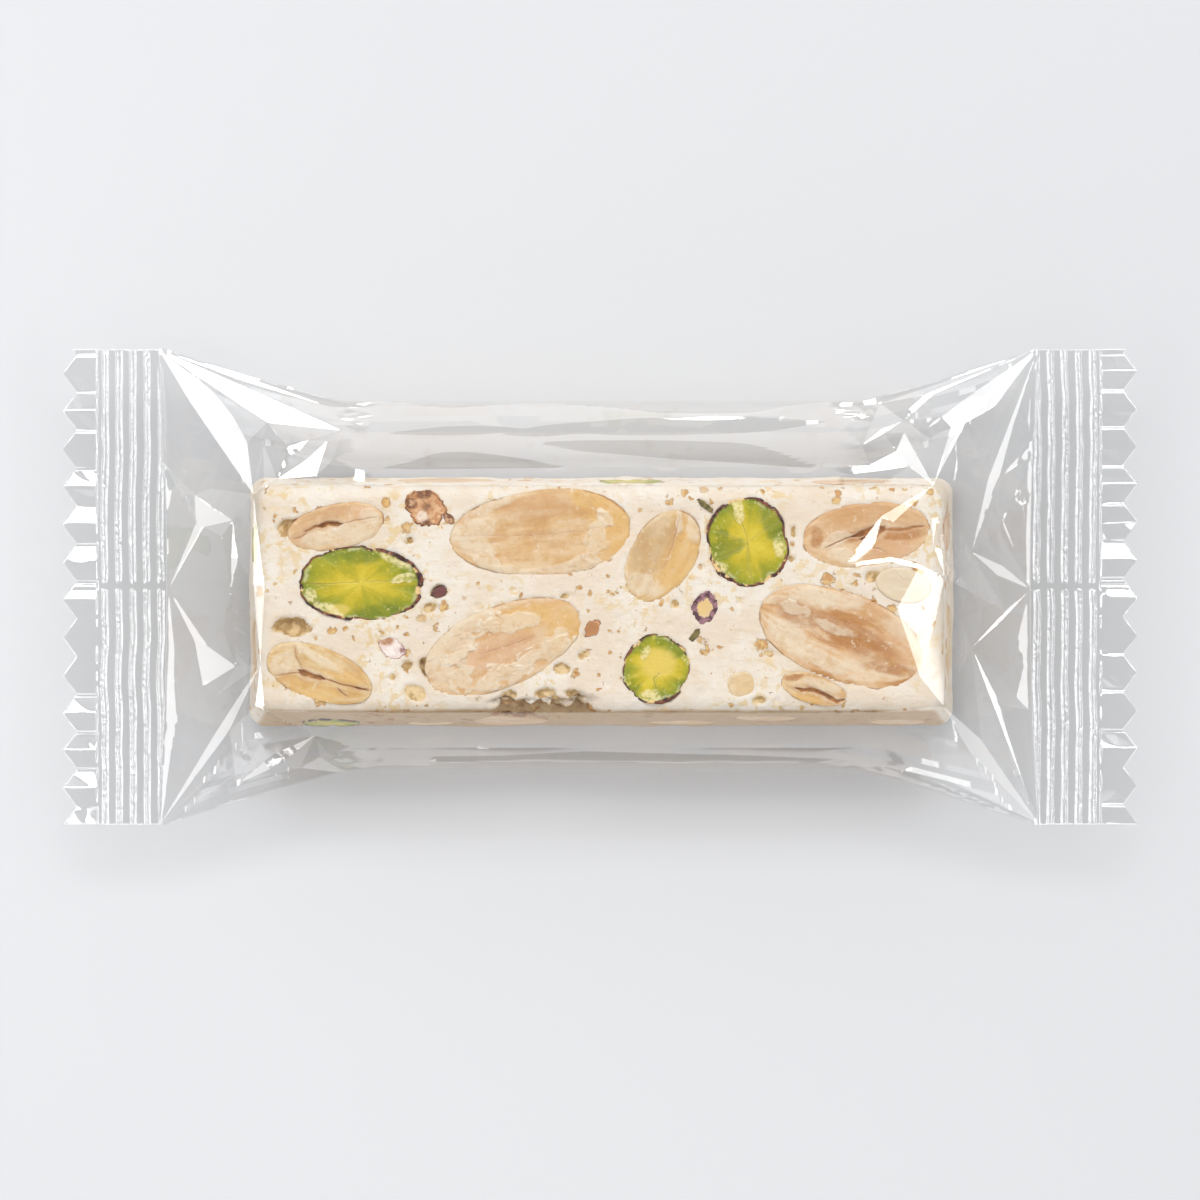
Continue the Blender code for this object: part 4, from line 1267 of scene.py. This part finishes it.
def outline(x):
    # half of the pack's width: even along the body, then nearly straight out to the seals' corners
    s = filmSizes
    share = np.clip((np.abs(x) - s["bodyHalfLength"]) / (s["cornerX"] - s["bodyHalfLength"]), 0, 1)
    half = s["bodyHalfWidth"] + (s["sealHalfWidth"] - s["bodyHalfWidth"]) * share ** 1.1
    return half, s["bodyShift"] * (1 - share)


def rolledSide(distance, radius):
    # the rise of a quarter circle over its distance from the outline, and a straight climb after it
    near = np.clip(1 - distance / radius, 0, 1)
    return radius * np.sqrt(np.clip(1 - near ** 2, 0, 1)) + np.maximum(distance - radius, 0)


def curve(x, places):
    # a smooth line through the places: straight pieces averaged over a short reach
    xs, ys = np.array(places).T
    return sum(np.interp(x + shift, xs, ys) for shift in (-1.6, -0.8, 0.0, 0.8, 1.6)) / 5


def bandNet():
    # the edges of the long bands as places and lines, for snapping the mesh to them
    spots, lines = [], []
    for edge in [edge for band in longBands for edge in band]:
        xs = np.linspace(edge[0][0], edge[-1][0], 24)
        start = len(spots)
        spots += [(x, y, 0.0) for x, y in zip(xs, curve(xs, edge))]
        lines += [(start + i, start + i + 1) for i in range(len(xs) - 1)]
    return np.array(spots), np.array(lines), []


def bodyHeight(x, y):
    # level over the bar, then down to each side: the fall between neighbours, gentle in the bands and
    # steep elsewhere, is summed outwards from the middle
    s = filmSizes
    midX, midY = (x[:, 1:] + x[:, :-1]) / 2, (y[:, 1:] + y[:, :-1]) / 2
    beside = (midY > s["backEdge"]) | (midY < s["frontEdge"])
    fall = np.where(beside, s["steep"] + 0.05 * flatNoise(midX, midY, 9.0, 47, 2), 0.0)
    gentle = s["gentle"] + 0.04 * flatNoise(midX, midY * 3, 14.0, 45, 2)
    for lower, upper in longBands:
        inside = (midY > curve(midX, lower)) & (midY < curve(midX, upper)) & beside
        inside = inside & (midX > lower[0][0]) & (midX < lower[-1][0])
        fall = np.where(inside, gentle, fall)
    drop = fall * np.abs(np.diff(y, axis=1))
    back = np.cumsum(np.where(midY > 0, drop, 0), axis=1)
    front = np.cumsum(np.where(midY <= 0, drop, 0)[:, ::-1], axis=1)[:, ::-1]
    zero = np.zeros((len(y), 1))
    return s["barTop"] - np.concatenate([zero, back], axis=1) - np.concatenate([front, zero], axis=1)


def upperFilm(x, y, distance, nets):
    # the creased ends blended into the body, with crumples and pleats laid over, and the sides rolled in:
    # the lower of the film's height and the rolled side's height, rounded where they meet
    s = filmSizes
    body = bodyHeight(x, y)
    ends = endHeight(x, y, nets)
    missing = np.isnan(ends)
    ends = np.where(missing, 40.0, ends)
    inBody = smooth(s["bodyHalfLength"], s["endsFrom"], np.abs(x))
    bodyOnly = missing & (np.abs(x) < s["bodyHalfLength"])
    height = np.where(bodyOnly, body, inBody * body + (1 - inBody) * ends)
    # small crumples at the ends, hardly any on the facets that mirror the lights
    away = np.maximum(y - s["backEdge"], s["frontEdge"] - y)
    offBar = np.clip(smooth(0.3, 2.0, away) + smooth(44.3, 46.0, np.abs(x)), 0, 1)
    crumples = facetNoise(x, y, 2.2, 1.7, 51) + 0.4 * facetNoise(x, y, 0.9, 0.8, 57)
    amount = 0.005 + 0 * x
    for spotX, spotY, reach, depth in crumpleSpots:
        amount = np.maximum(amount, depth * smooth(reach, 0.3 * reach, np.hypot(x - spotX, y - spotY)))
    tiltX = endHeight(x + 0.02, y, nets) - ends
    tiltY = endHeight(x, y + 0.02, nets) - ends
    tilt = np.nan_to_num(np.hypot(tiltX, tiltY) / 0.02)
    plain = 0.12 + 0.88 * np.maximum(smooth(0.47, 0.53, tilt), smooth(0.28, 0.22, tilt))
    amount = amount * np.maximum(plain, smooth(0.02, 0.10, amount))
    fade = smooth(0.0, 1.6, distance) * smooth(26.0, 30.0, np.abs(x)) * offBar
    height = height + crumples * amount * fade
    # fine pleats out of the corners and the middle of each seal
    for cornerX, cornerY, _ in np.concatenate([net[0][:3] for net in nets]):
        dx, dy = x - cornerX, y - cornerY
        reach = np.hypot(dx, dy)
        turn = np.arctan2(dy, dx) * 9
        wide = flatNoise(turn, 0 * x, 0.9, int(cornerX + 90), 2)
        fine = flatNoise(turn, 0 * x, 0.28, int(cornerX + 95), 2)
        fade = smooth(0.3, 3.0, reach) * smooth(22.0, 9.0, reach) * smooth(0.0, 1.0, distance)
        height = height + (0.0034 * wide + 0.0014 * fine) * reach * fade * offBar * plain
    radius = 0.5 + (s["sideRadius"] - 0.5) * smooth(52.0, 30.0, np.abs(x))
    side = s["sealHeight"] + s["rim"] * rolledSide(distance, radius)
    sharp = 0.12
    return -sharp * np.logaddexp(-height / sharp, -side / sharp)


def lowerFilm(x, y, distance, sealDistance):
    # down from the seals to the floor, with broad folds: the higher of the fall and the floor, rounded
    seal = filmSizes["sealHeight"]
    drop = np.minimum(0.85 * sealDistance, rolledSide(distance, filmSizes["underRadius"]) * 1.1)
    folds = 0.5 * facetNoise(x, y, 6.0, 5.0, 71) + 0.2 * facetNoise(x, y, 14.0, 2.2, 75)
    under = seal - drop + folds * smooth(0, 3, np.minimum(sealDistance, distance))
    floor = 0.08 + 0.05 * smooth(0, 1, facetNoise(x, y, 12.0, 5.0, 73))
    sharp = 0.3
    return np.minimum(sharp * np.logaddexp(under / sharp, floor / sharp), seal)


def filmSheet(count):
    # the rows and columns of one sheet: places, distance to the outline, distance to the seal
    s = filmSizes
    bodyShare = s["bodyHalfLength"] / s["sealStart"]
    body = np.linspace(-1, 1, s["stationsBody"]) * s["bodyHalfLength"] / s["sealStart"]
    end = np.linspace(bodyShare, 1, s["stationsEnd"])[1:]
    along = np.concatenate([-end[::-1], body, end])[:, None]
    # a little closer at the sides
    across = np.sin(np.linspace(-1, 1, count) * np.pi / 4)
    across = (across / across.max())[None, :]
    inner = sealInner(across * s["sealHalfWidth"], along + 0 * across)
    x = along * inner
    half, shift = outline(x)
    y = across * half + shift * (1 - across ** 2) * smooth(57.0, 45.0, np.abs(x))
    return x, y, half * (1 - np.abs(across)), inner - np.abs(x)


def snappedSheet(nets):
    # the upper sheet's grid, moved onto the creases of the ends and the edges of the long bands
    x, y, distance, sealDistance = filmSheet(filmSizes["across"])
    inside = (slice(1, -1), slice(1, -1))
    for net in nets:
        movedX, movedY, _ = snapToCreases(x, y, net)
        keep = (np.sign(net[0][0, 0]) == np.sign(x)) & (np.abs(x) > filmSizes["endsFrom"] + 0.5)
        movedX, movedY = np.where(keep, movedX, x), np.where(keep, movedY, y)
        x[inside], y[inside] = movedX[inside], movedY[inside]
    _, movedY, onEdge = snapToCreases(x, y, bandNet())
    onEdge = onEdge & (np.abs(x) < filmSizes["bandsTo"])
    y[inside] = np.where(onEdge, movedY, y)[inside]
    return x, y, distance, sealDistance, onEdge


def upperFaces(x, y, top, onEdge, nets):
    # each square of the upper sheet is cut along the diagonal that follows its crease better
    middleX, middleY = ((p[:-1, :-1] + p[1:, 1:] + p[1:, :-1] + p[:-1, 1:]) / 4 for p in (x, y))
    middle = endHeight(middleX, middleY, nets)
    plain = endHeight(x, y, nets)
    rising = np.abs((plain[:-1, :-1] + plain[1:, 1:]) / 2 - middle)
    falling = np.abs((plain[1:, :-1] + plain[:-1, 1:]) / 2 - middle)
    turned = np.nan_to_num(falling) < np.nan_to_num(rising)
    besideBar = np.abs(middleX) < filmSizes["bandsTo"]
    turned = np.where(besideBar, onEdge[1:, :-1] & onEdge[:-1, 1:], turned)[..., None, None]
    a, b, c, d = top[:-1, :-1], top[1:, :-1], top[1:, 1:], top[:-1, 1:]
    cutRising = np.stack([np.stack([a, b, c], -1), np.stack([a, c, d], -1)], -2)
    cutFalling = np.stack([np.stack([a, b, d], -1), np.stack([b, c, d], -1)], -2)
    return np.where(turned, cutFalling, cutRising).reshape(-1, 3)


def endFaces(one, two):
    # triangles between the end rows of two sheets that have different counts across
    nearest = np.round(np.arange(len(one)) * (len(two) - 1) / (len(one) - 1)).astype(int)
    fan = np.stack([one[:-1], one[1:], two[nearest[:-1]]], axis=1)
    step = nearest[1:] != nearest[:-1]
    link = np.stack([one[1:], two[nearest[1:]], two[nearest[:-1]]], axis=1)[step]
    joined = np.concatenate([fan, link])
    a, b, c = joined.T
    return joined[(a != b) & (b != c) & (a != c)]


def filmPiece(material):
    # an upper and an under sheet over the same rows, closed to each other along the sides and the seals
    seal = filmSizes["sealHeight"]
    nets = creaseNet(leftPlaces, leftCreases), creaseNet(rightPlaces, rightCreases)
    x, y, distance, sealDistance, onEdge = snappedSheet(nets)
    z = upperFilm(x, y, distance, nets)
    z = seal + (z - seal) * smooth(-0.2, 0.35, sealDistance)
    z = np.clip(z, seal, filmSizes["topHigh"])
    underX, underY, underDistance, underSeal = filmSheet(filmSizes["acrossUnder"])
    under = lowerFilm(underX, underY, underDistance, underSeal)
    for sheet in (z, under):
        sheet[[0, -1], :] = seal
        sheet[:, [0, -1]] = seal
    top = np.arange(z.size).reshape(z.shape)
    low = z.size + np.arange(under.size).reshape(under.shape)
    low[:, 0], low[:, -1] = top[:, 0], top[:, -1]
    faces = [
        upperFaces(x, y, top, onEdge, nets),
        gridFaces(low)[:, ::-1],
        endFaces(top[0], low[0]),
        endFaces(top[-1], low[-1])[:, ::-1],
    ]
    sheets = (x, y, z), (underX, underY, under)
    points = np.concatenate([np.stack(sheet, axis=2).reshape(-1, 3) for sheet in sheets])
    piece = makeMesh("film", points, faces, material)
    piece.data.set_sharp_from_angle(angle=math.radians(7))
    return piece


def filmMaterial(name, reflect, rough, clear=0.975, pressed=0.0):
    # clear where it is looked through, and a mirror whose share grows with the fifth power of the slant
    n = Nodes(name)
    n.tree.nodes.remove(n.tree.nodes["Principled BSDF"])
    normal = n.add("ShaderNodeNewGeometry").outputs["Normal"]
    if pressed:
        normal = n.bump(n.times(n.noise(0.45, 2.0, 0.6), n.value("rough")), pressed)
    slant = n.add("ShaderNodeLayerWeight", {"Blend": 0.5}).outputs["Facing"]
    grown = n.times(n.math("POWER", slant, 5.0), 1 - reflect)
    share = n.math("ADD", grown, reflect, clamp=True)
    see = n.add("ShaderNodeBsdfTransparent", {"Color": (clear, clear, clear, 1)}).outputs[0]
    shine = {"Color": (1, 1, 1, 1), "Roughness": rough, "Normal": normal}
    mirror = n.add("ShaderNodeBsdfGlossy", shine).outputs[0]
    mixed = n.add("ShaderNodeMixShader", {0: share, 1: see, 2: mirror}).outputs[0]
    n.feed(n.tree.nodes["Material Output"].inputs["Surface"], mixed)
    return n.owner


sealSizes = {
    "thickness": 0.12,
    "toothDepth": 1.78,
    "toothPitch": 4.86,
    "ridgePitch": 1.80,
    "ridgeDepth": 0.145,
    "ladderPitch": 0.95,    # of the fine rungs across the ridges
    "ladder": 0.030,
    "seamY": 0.1,           # where the seam underneath crosses
    "crimpShare": 0.70,     # of the rows, for the ridged band; the rest are in the toothed flap
    "rowsAlong": 130,
    "rowsAcross": 270,
}

# leans: for each tooth from the back to the front, how much its back half falls, its front half falls,
# and it rises outwards
sealEnds = {
    "left": dict(
        end=-1, tip=69.4, crimpOuter=64.8, phase=-1.7, seed=3,
        leans=[
            (0.12, 0.50, 0.05), (0.50, 0.50, 0.0), (0.12, 0.15, 0.18), (0.45, 0.50, 0.0),
            (0.37, 0.12, 0.05), (0.36, 0.10, 0.05), (0.36, 0.15, 0.0), (0.10, 0.10, 0.0),
            (0.15, 0.20, 0.0), (0.52, 0.10, 0.0), (0.50, 0.20, 0.0), (0.48, 0.15, 0.0),
            (0.10, 0.15, 0.36),
        ],
    ),
    "right": dict(
        end=1, tip=69.3, crimpOuter=64.4, phase=-1.4, seed=4,
        leans=[
            (0.50, 0.45, 0.0), (0.20, 0.50, 0.0), (0.05, 0.50, 0.0), (0.50, 0.50, 0.0),
            (0.15, 0.25, 0.30), (0.37, 0.10, 0.0), (0.37, 0.12, 0.0), (0.12, 0.10, 0.0),
            (0.15, 0.50, 0.0), (0.12, 0.10, 0.0), (0.50, 0.15, 0.0), (0.10, 0.50, 0.0),
            (0.12, 0.20, 0.32),
        ],
    ),
}


def sealPiece(name, spec, material):
    # one flat strip pressed into ridges; its outer edge is a zigzag, and each tooth leans its own way
    s = sealSizes
    half, seed, pitch = filmSizes["sealHalfWidth"], spec["seed"], s["toothPitch"]
    across = np.linspace(-half, half, s["rowsAcross"])[None, :]
    share = np.linspace(0, 1, s["rowsAlong"])[:, None]
    tooth = (across - spec["phase"]) / pitch
    number = np.round(tooth)
    step = np.abs(tooth - number) * 2
    edge = spec["tip"] - s["toothDepth"] * step
    inner = sealInner(across, spec["end"])
    crimp = spec["crimpOuter"] + 0 * across
    split = s["crimpShare"]
    banded = inner + (crimp - inner) * share / split
    flapped = crimp + (edge - crimp) * (share - split) / (1 - split)
    out = np.where(share < split, banded, flapped)
    y = across + 0 * share
    x = spec["end"] * out
    valley = bell((step - 1) * pitch / 2, 0.13)
    seam = bell(y - s["seamY"], 0.45, 4)
    # ridges with straight flanks and rough flat tops, cut by a thin line at each valley and by the seam
    band = smooth(-0.1, 0.3, out - inner) * smooth(0.1, -0.15, out - crimp)
    phase = (out - crimp) / s["ridgePitch"] + 0.10 * flatNoise(y, 0 * x, 6.0, seed + 20, 2)
    row = np.round(phase)
    saw = np.abs(phase - row) * 2
    wide = 0.46 + 0.10 * flatNoise(y, row * 3.0, 5.0, seed + 21, 2)
    ridge = np.clip((saw - wide) / 0.44, 0, 1)
    knurl = flatNoise(out * 0.8, y, 0.8, seed, 2)
    rungs = 2 * np.pi * y / s["ladderPitch"] + 4 * row + 2.5 * flatNoise(y, out * 0.2, 3.0, seed + 22)
    relief = ridge * (s["ridgeDepth"] + 0.02 * knurl + s["ladder"] * np.sin(rungs))
    z = filmSizes["sealHeight"] + band * ((1 - seam) * relief + 0.06 * seam - 0.07 * valley * ridge)
    # the flap: each half tooth is one plane, and its rim turns down
    order = np.clip(6 - number, 0, 12).astype(int)
    back, front, lean = np.array(spec["leans"])[order].transpose(2, 0, 1)
    offset = y - (spec["phase"] + number * pitch)
    high = (back + front) * pitch / 8
    plane = high - back * np.maximum(offset, 0) - front * np.maximum(-offset, 0)
    plane = plane + lean * (out - crimp - 1.5)
    plane = plane + 0.10 * facetNoise(x, y, 2.6, 2.2, seed + 30)
    rim = np.maximum(0, 0.12 - 0.8 * (edge - out))
    flap = smooth(0.0, 0.3, out - crimp)
    z = z + flap * plane - 0.4 * rim
    z = z + 0.10 * flap * bell(y - s["seamY"], 0.3)
    # the same sheet above and below, with a wall round its edge
    upper = np.arange(z.size).reshape(z.shape)
    loop = np.concatenate([upper[0, :-1], upper[:-1, -1], upper[-1, :0:-1], upper[:0:-1, 0]])
    under = loop + z.size
    wall = np.stack([loop, np.roll(loop, -1), np.roll(under, -1), under], axis=1)
    faces = [gridFaces(upper), gridFaces(upper + z.size)[:, ::-1], wall]
    if spec["end"] < 0:
        faces = [group[:, ::-1] for group in faces]
    rough = np.tile((band * ridge * (1 - seam)).reshape(-1), 2)
    sheets = [np.stack([x, y, z + side * s["thickness"] / 2], axis=2) for side in (1, -1)]
    points = np.concatenate([sheet.reshape(-1, 3) for sheet in sheets])
    return makeMesh(name, points, faces, material, {"rough": rough})


studio = {
    "cameraHeight": 1000.0,
    "view": 154.8,             # width of the view at the height of the seals
    "middle": (-0.06, -1.7),
    "floor": -0.03,            # just under the pack
    "horizon": 0.30,           # brightness of the room low down and straight up
    "overhead": 0.20,
    "glow": 1.3,               # of the band before and behind the pack, and at its sides
    "glowSides": 0.15,
    "reach": 900.0,            # of the soft panels
}

# soft panels: direction round the pack in degrees (90 is the back), angle from straight up,
# width, height, brightness
panels = {
    "back": (90, 41, 460, 230, 9.0),
    "backLeft": (119, 41, 430, 220, 3.9),
    "backRight": (61, 41, 430, 220, 3.7),
    "leftBack": (147, 41, 430, 210, 3.5),
    "rightBack": (33, 41, 430, 210, 3.2),
    "left": (175, 43, 430, 205, 3.3),
    "right": (5, 43, 430, 205, 3.2),
    "leftFront": (203, 43, 430, 205, 2.9),
    "rightFront": (-23, 43, 430, 205, 2.8),
    "frontLeft": (228, 46, 330, 205, 2.2),
    "frontRight": (-48, 46, 330, 205, 2.2),
    "leftHigh": (199, 27, 190, 170, 3.4),
}


def makeFloor():
    bpy.ops.mesh.primitive_plane_add(size=4.0, location=(0, 0, studio["floor"] * 0.001))
    floor = bpy.context.object
    floor.name = "floor"
    n = Nodes("paleFloor")
    side = n.add("ShaderNodeSeparateXYZ", {0: n.place}).outputs
    # painted shade: the floor is darker towards the right and the back, standing in for the light's falloff
    across = n.math("ADD", n.times(side["X"], 5.0), n.times(side["Y"], 6.0))
    colour = n.mix(n.ramp(across, -0.9, 0.9), "CBCCCE", "C0C1C3")
    colour = n.tint(colour, "CFD0D1", n.noise(600.0, 2.0), 0.2)
    floor.data.materials.append(n.finish(colour, 0.85, None, 0.1))


def makePanels():
    for name, (azimuth, zenith, width, height, bright) in panels.items():
        light = bpy.data.lights.new(name, "AREA")
        light.shape = "RECTANGLE"
        light.size, light.size_y = width * 0.001, height * 0.001
        light.energy = bright * math.pi * light.size * light.size_y
        lamp = bpy.data.objects.new(name, light)
        azimuth, zenith, reach = math.radians(azimuth), math.radians(zenith), studio["reach"] * 0.001
        lamp.location = (
            reach * math.sin(zenith) * math.cos(azimuth),
            reach * math.sin(zenith) * math.sin(azimuth),
            reach * math.cos(zenith),
        )
        lamp.rotation_euler = (-lamp.location).to_track_quat("-Z", "Y").to_euler()
        bpy.context.scene.collection.objects.link(lamp)


def makeRoom():
    # dim overhead, with a glowing band behind and before the pack, and even at the horizon
    n = Nodes("softRoom", "worlds")
    way = n.add("ShaderNodeSeparateXYZ", {0: n.places["Generated"]}).outputs
    band = n.times(n.ramp(way["Z"], 0.02, 0.16), n.ramp(way["Z"], 0.62, 0.45))
    sideways = n.times(n.times(way["Y"], way["Y"]), studio["glow"])
    glow = n.times(band, n.math("ADD", sideways, studio["glowSides"]))
    more = studio["horizon"] - studio["overhead"]
    base = n.math("MULTIPLY_ADD", n.ramp(way["Z"], 0.75, 0.05), more, studio["overhead"])
    background = n.tree.nodes["Background"].inputs
    n.feed(background["Color"], (0.98, 0.985, 1.0, 1))
    n.feed(background["Strength"], n.math("ADD", base, glow))
    bpy.context.scene.world = n.owner
    bpy.context.scene.view_settings.view_transform = "Standard"


def makeCamera():
    camera = bpy.data.cameras.new("camera")
    camera.sensor_width = 36.0
    distance = studio["cameraHeight"] - filmSizes["sealHeight"]
    camera.lens = camera.sensor_width * distance / studio["view"]
    camera.clip_end = 10.0
    holder = bpy.data.objects.new("camera", camera)
    holder.location = [value * 0.001 for value in (*studio["middle"], studio["cameraHeight"])]
    bpy.context.scene.collection.objects.link(holder)
    bpy.context.scene.camera = holder


makeCamera()
finishPiece(nougatBar(nougatMaterial()))
print("nougat made")

# the small pieces' materials: dark and light, the skin's dark and light, and where the skin starts
bits = {
    "brown": ("brownNut", "BE8654", "DDB48C", "6A3A20", "B07A48", 0.84),
    "ring": ("ringNut", "D8BC8E", "E6D3AE", "53303A", "9A7078", 0.52),
    "pink": ("pinkNut", "E2CEC6", "EFE4DC", "8A5450", "C8A49C", 0.88),
    "dark": ("maroonNut", "54282A", "74403A", "4A2420", "7A4A3C", 0.85),
    "twig": ("greenTwig", "4C4A1C", "7A6A34", "3C3418", "8A7440", 0.80),
}
bits = {kind: bitMaterial(*colours) for kind, colours in bits.items()}
for name, (nut, origin, along, across, out) in nutFrames().items():
    if nut["kind"] == "almond":
        tone, pale, stripes = nut.get("tone", 0.3), nut.get("pale", 0.0), nut.get("stripes", 0.0)
        material, slot = almondMaterial(name + "_cut", tone, pale, stripes), "almond"
    elif nut["kind"] == "pistachio":
        material, slot = pistachioMaterial(nut.get("yolk", 0.0)), "pistachio"
    else:
        material, slot = bits[nut["kind"]], nut.get("slot", "nut_skin")
    finishPiece(nutMesh(name, nut, origin, along, across, out, material))
print("nuts made")

film = finishPiece(filmPiece(filmMaterial("clearFilm", 0.115, 0.03)))
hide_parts("wrapper")
for name, spec in sealEnds.items():
    pressed = filmMaterial("sealFilm_" + name, 0.125, 0.05, 0.985, 0.10)
    finishPiece(sealPiece("seal_" + name, spec, pressed))
print("film made")

makeFloor()
makePanels()
makeRoom()
print("stage made")
